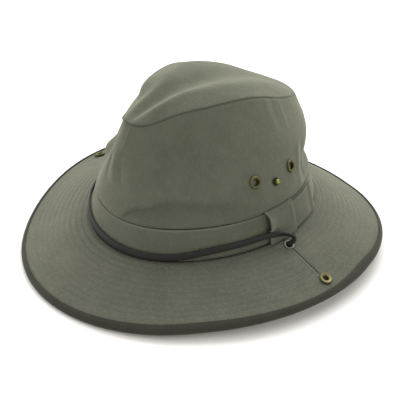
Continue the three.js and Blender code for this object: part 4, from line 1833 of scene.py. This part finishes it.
        def place(u: Values, v: Values) -> Points:
            """Fold the grid over the rim, flat where the floor carries it.

            Args:
                u: Shares of the grid's columns, 0 to 1.
                v: Shares of its rows, 0 to 1.

            Returns:
                Points in the resting frame.
            """
            bearing = 360 * u
            section = along_profile(profile, v)
            width = smooth_round(*zip(*TAPE_WIDTHS), bearing)
            inward = section[:, 0] * np.where(section[:, 0] > 0, width / tape, 1)
            station = 1 - inward / self.reach(bearing)
            base = FORM.brim_top(bearing, station)
            up = -normals(FORM.brim_top, bearing, np.clip(station, 0.02, 0.98), 0, 1)
            points = base + up * section[:, 1:]
            floor = FORM.floor_height(points[:, 0], points[:, 1])
            rise = points[:, 2] - floor
            soft = 0.06 * grain(points, 6, 8)
            points[:, 2] = floor + np.where(rise < 0.75, 0.02, rise + soft)
            return settled(points)

        piece = Sheet("rim_tape", 480, 26, place, (950, 17)).build()
        merge_doubles(piece)
        thicken(piece, self.tape_thickness)
        smooth_shade(piece, 60)
        return piece

    def line(self, out: float, count: int = 900) -> tuple[Points, Points]:
        """A row of topstitching round the brim, and its normals.

        Args:
            out: Its distance out from the crown.
            count: How many points it has.

        Returns:
            Points in the hat frame, and unit vectors.
        """
        bearing = np.linspace(0, 360, count)
        station = out / self.reach(bearing)
        return self.cloth(bearing, station), -normals(FORM.brim_top, bearing, station, 0, 1)

    def build(self, finishes: Finishes) -> None:
        """Make the brim.

        Args:
            finishes: The hat's materials.
        """
        dress(self.sheet(), finishes.brim, Slot.BRIM_COTTON, "brim")
        dress(self.binding(), finishes.tape, Slot.BINDING, "brim_binding")
        lines = [self.line(out) for out in self.stitch_outs()]
        sewn = StitchRow(length=2.4, pitch=3.3, thickness=0.4).sew("brim_topstitch", lines)
        dress(sewn, finishes.thread, Slot.BRIM_COTTON)


@dataclass
class HatBand:
    """The folded band, its tail and the keeper loop over it."""

    keeper: tuple[float, float] = (82.4, 98.6)
    tail: tuple[float, float] = (85.0, 119.6)
    thickness: float = 0.7

    def band(self) -> bpy.types.Object:
        """Make the band.

        Returns:
            The piece.
        """
        profile = [
            (1.4, -1.3), (0.95, -0.9), (0.95, -0.3), (1.5, 0.0), (8.0, 0.0), (16.0, 0.0), (23.6, 0.0),
            (25.1, -0.15), (25.75, -0.7), (25.5, -1.3),
        ]

        def place(u: Values, v: Values) -> Points:
            """Bend the grid round the band.

            Args:
                u: Shares of the grid's columns, 0 to 1.
                v: Shares of its rows, 0 to 1.

            Returns:
                Points in the resting frame.
            """
            bearing = 360 * u
            section = along_profile(profile, v)
            plain = FORM.band_point(bearing, section[:, 0], 0)
            ease = 0.22 * grain(plain, 22, 11) - 0.1
            return settled(FORM.band_point(bearing, section[:, 0], section[:, 1] + ease))

        def mottle_and_painted_shading(u: Values, v: Values) -> Values:
            """A painted highlight along the folded top edge, and painted shade at the foot."""
            height = along_profile(profile, v)[:, 0]
            return 1.2 * step_up(height - 25.0, 0.2) - 0.9 * step_up(1.6 - height, 0.2)

        piece = Sheet("band_cloth", 420, 40, place, (600, 29), painted_shading=mottle_and_painted_shading).build()
        merge_doubles(piece)
        thicken(piece, self.thickness)
        smooth_shade(piece, 60)
        return piece

    def strip(
        self, name: str, ends: tuple[float, float], profile: list[tuple[float, float]],
        lift: Surface, thickness: float, painted_shading: Surface, flare: float = 0,
    ) -> bpy.types.Object:
        """Make a short strip of cloth across or along the band.

        Args:
            name: Its name.
            ends: Bearings where it starts and ends.
            profile: Height and distance out from the band's face.
            lift: Extra distance out, by the share along it and up it.
            thickness: Its cloth's thickness in millimetres.
            painted_shading: Its painted highlights and shade, by the same shares.
            flare: How far its first end spreads near the top, in degrees.

        Returns:
            The piece.
        """

        def place(u: Values, v: Values) -> Points:
            """Bend the grid beside the band.

            Args:
                u: Shares of the grid's columns, 0 to 1.
                v: Shares of its rows, 0 to 1.

            Returns:
                Points in the resting frame.
            """
            bearing = ends[0] + (ends[1] - ends[0]) * u - flare * bell(v - 0.94, 0.07) * (1 - u) ** 3
            section = along_profile(profile, v)
            return settled(FORM.band_point(bearing, section[:, 0], section[:, 1] + lift(u, v)))

        piece = Sheet(name, 60, 44, place, (60, 30), painted_shading=painted_shading).build()
        thicken(piece, thickness)
        soften_edges(piece, 0.25)
        smooth_shade(piece, 60)
        return piece

    def tail_lift(self, u: Values, v: Values) -> Values:
        """The tail's dents, its lifted end and the pull of its stitching."""
        dents = 0.45 * np.sin(9 * u + 3.5 * v) * np.sin(5 * v + 1.1) * bell(u - 0.72, 0.3)
        return 0.3 + dents + 0.7 * bell(u - 0.97, 0.06) - 0.5 * bell(u - 0.86, 0.06)

    def keeper_lift(self, u: Values, v: Values) -> Values:
        """The keeper's front edge stands off the band, and its back edge is turned under."""
        free = step_up(v - 0.4, 0.03) * np.clip((0.9 - v) * 6, 0, 1)
        return free * (2.8 * bell(u, 0.17) + 0.45 * bell(u - 0.93, 0.06) + 0.2 * np.sin(6 * v))

    def build(self, finishes: Finishes) -> None:
        """Make the band.

        Args:
            finishes: The hat's materials.
        """
        dress(self.band(), finishes.crown, Slot.COTTON, "hat_band")
        tail = self.strip(
            "tail_cloth", self.tail, [(1.5, 1.6), (8, 1.6), (17, 1.6), (25.5, 1.6)], self.tail_lift, 1.1,
            # Painted highlights along the tail's end and its top edge.
            lambda u, v: 0.9 * step_up(u - 0.95, 0.01) + 0.5 * step_up(v - 0.95, 0.01),
        )
        dress(tail, finishes.crown, Slot.COTTON, "band_tail")
        keeper = self.strip(
            "keeper_cloth", self.keeper,
            [
                (1.0, 3.0), (4, 3.5), (9, 3.7), (18, 3.6), (25.5, 3.4), (28.3, 2.8), (29.5, 1.5),
                (28.9, 0.6),
            ],
            self.keeper_lift, 1.2,
            # Painted highlights along the keeper's two edges.
            lambda u, v: 0.8 * step_up(0.07 - u, 0.01) + 0.8 * step_up(u - 0.94, 0.01), 1.3,
        )
        dress(keeper, finishes.crown, Slot.COTTON, "band_keeper")


@dataclass
class Fittings:
    """Vent eyelets and studs of brass in the crown, lace eyelets of nickel and snap sockets of brass in
    the brim.
    """

    steps: int = 48

    def spun(self, name: str, place: Place, profile: list[tuple[float, float]]) -> bpy.types.Object:
        """Spin a closed profile of radius and height about a fitting's line.

        Args:
            name: The piece's name.
            place: Where it goes.
            profile: Its closed profile.

        Returns:
            The piece.
        """
        turn = Vector((0, 0, 1)).rotation_difference(Vector(place.normal)).to_matrix()
        rows = np.array([*profile, profile[0]])

        def bend(u: Values, v: Values) -> Points:
            """Bend the grid round the fitting's line.

            Args:
                u: Shares of the grid's columns, 0 to 1.
                v: Shares of its rows, 0 to 1.

            Returns:
                Points in the resting frame.
            """
            row = np.round(v * (len(rows) - 1)).astype(int)
            radius, height = rows[row].T
            t = 2 * np.pi * u
            local = np.stack([radius * np.cos(t), radius * np.sin(t), height], -1)
            return settled(local @ np.array(turn).T + place.point)

        piece = Sheet(name, self.steps, len(rows) - 1, bend, (30, 10)).build()
        merge_doubles(piece, outward=True)
        soften_edges(piece, 0.12)
        smooth_shade(piece, 40)
        return piece

    def eyelet(
        self, bore: float, barrel: float, flange: float, seat: float, rise: float, cloth: float,
        lip: float = 0,
    ) -> list[tuple[float, float]]:
        """Profile of an eyelet with a rolled flange.

        Args:
            bore: Radius of its bore.
            barrel: Outer radius of its barrel.
            flange: Outer radius of its flange.
            seat: Height of the flange's underside over the cloth.
            rise: Height of the flange's top.
            cloth: Thickness of the cloth.
            lip: How far its back reaches into the bore.

        Returns:
            Points of radius and height, in millimetres.
        """
        under, foot = -cloth - 0.5, seat + 0.25
        middle, half = (bore + flange) / 2, (flange - bore) / 2
        turns = np.linspace(math.pi, 0, 9)
        roll = [(middle + half * math.cos(t), foot + (rise - foot) * math.sin(t)) for t in turns]
        return [
            (bore - lip, under - 0.7), (bore - lip, under + 0.5), (bore, under + 0.7), *roll,
            (flange - 0.2, seat), (barrel, seat), (barrel, under),
            (flange - 0.6, under), (flange - 0.6, under - 0.7),
        ]

    def stud_base(self) -> list[tuple[float, float]]:
        """Profile of a snap stud's washer and neck.

        Returns:
            Points of radius and height, in millimetres.
        """
        seat, back = 0.5, -FORM.cloth - 0.5
        return [
            (0, back - 0.9), (3.3, back - 0.9), (3.3, back), (1.3, back), (1.3, seat), (3.3, seat),
            (3.3, seat + 0.5), (2.9, seat + 0.75), (1.5, seat + 1.0), (1.3, seat + 1.7), (0, seat + 1.7),
        ]

    def stud_ball(self) -> list[tuple[float, float]]:
        """Profile of a snap stud's ball."""
        ball = [(1.95 * math.cos(t), 3.1 + 1.4 * math.sin(t)) for t in np.linspace(-0.8, math.pi / 2, 12)]
        return [(0, 2.1), *ball]

    def socket(self) -> list[tuple[float, float]]:
        """Profile of a snap's socket cap.

        Returns:
            Points of radius and height, in millimetres.
        """
        under = -FORM.brim_cloth - FORM.gap
        return [
            (2.2, under - 0.8), (2.2, 1.2), (2.3, 1.6), (2.6, 1.8), (3.1, 1.9), (4.4, 2.3), (4.9, 2.2),
            (5.25, 1.8), (5.3, 1.4), (5.1, 0.8), (4.8, 0.6), (3.0, 0.6), (3.0, under), (4.7, under),
            (4.7, under - 0.8),
        ]

    def build(self, finishes: Finishes) -> None:
        """Make every fitting.

        Args:
            finishes: The hat's materials.
        """
        crown = self.eyelet(2.8, 3.2, 5.2, 0.6, 2.1, FORM.cloth, 0.5)
        lace = self.eyelet(3.0, 3.5, 4.4, 0.3, 1.2, FORM.brim_cloth)
        for side in Side:
            word = side.name.lower()
            for end, (bearing, height) in VENTS.items():
                piece = self.spun(f"vent_{word}_{end}", on_crown(side.value * bearing, height), crown)
                dress(piece, finishes.brass, Slot.BRASS, f"crown_eyelet_{word}_{end}")
            stud = on_crown(side.value * STUD[0], STUD[1])
            # The washer takes a darker copy of the brass, painted shade, and the ball a lighter copy, a
            # painted highlight.
            piece = self.spun(f"stud_{word}", stud, self.stud_base())
            dress(piece, finishes.shaded_brass, Slot.BRASS, f"crown_snap_{word}")
            piece = self.spun(f"stud_ball_{word}", stud, self.stud_ball())
            dress(piece, finishes.highlight_brass, Slot.BRASS)
            piece = self.spun(f"lace_ring_{word}", on_brim(side.value * SIDE_BEARING, LACE_OUT), lace)
            dress(piece, finishes.nickel, Slot.BRASS, f"lace_eyelet_{word}")
            spot = on_brim(side.value * SIDE_BEARING, SOCKET_OUT)
            piece = self.spun(f"socket_{word}", spot, self.socket())
            dress(piece, finishes.brass, Slot.BRASS, f"brim_snap_{word}")


def main() -> None:
    """Build the scene."""
    logging.basicConfig(level=logging.INFO, format="%(name)s: %(message)s")
    Studio().build()
    finishes = Finishes()
    ChinLace().build(finishes)
    CrownShell().build(finishes)
    Brim().build(finishes)
    HatBand().build(finishes)
    Fittings().build(finishes)


if __name__ == "__main__":
    main()
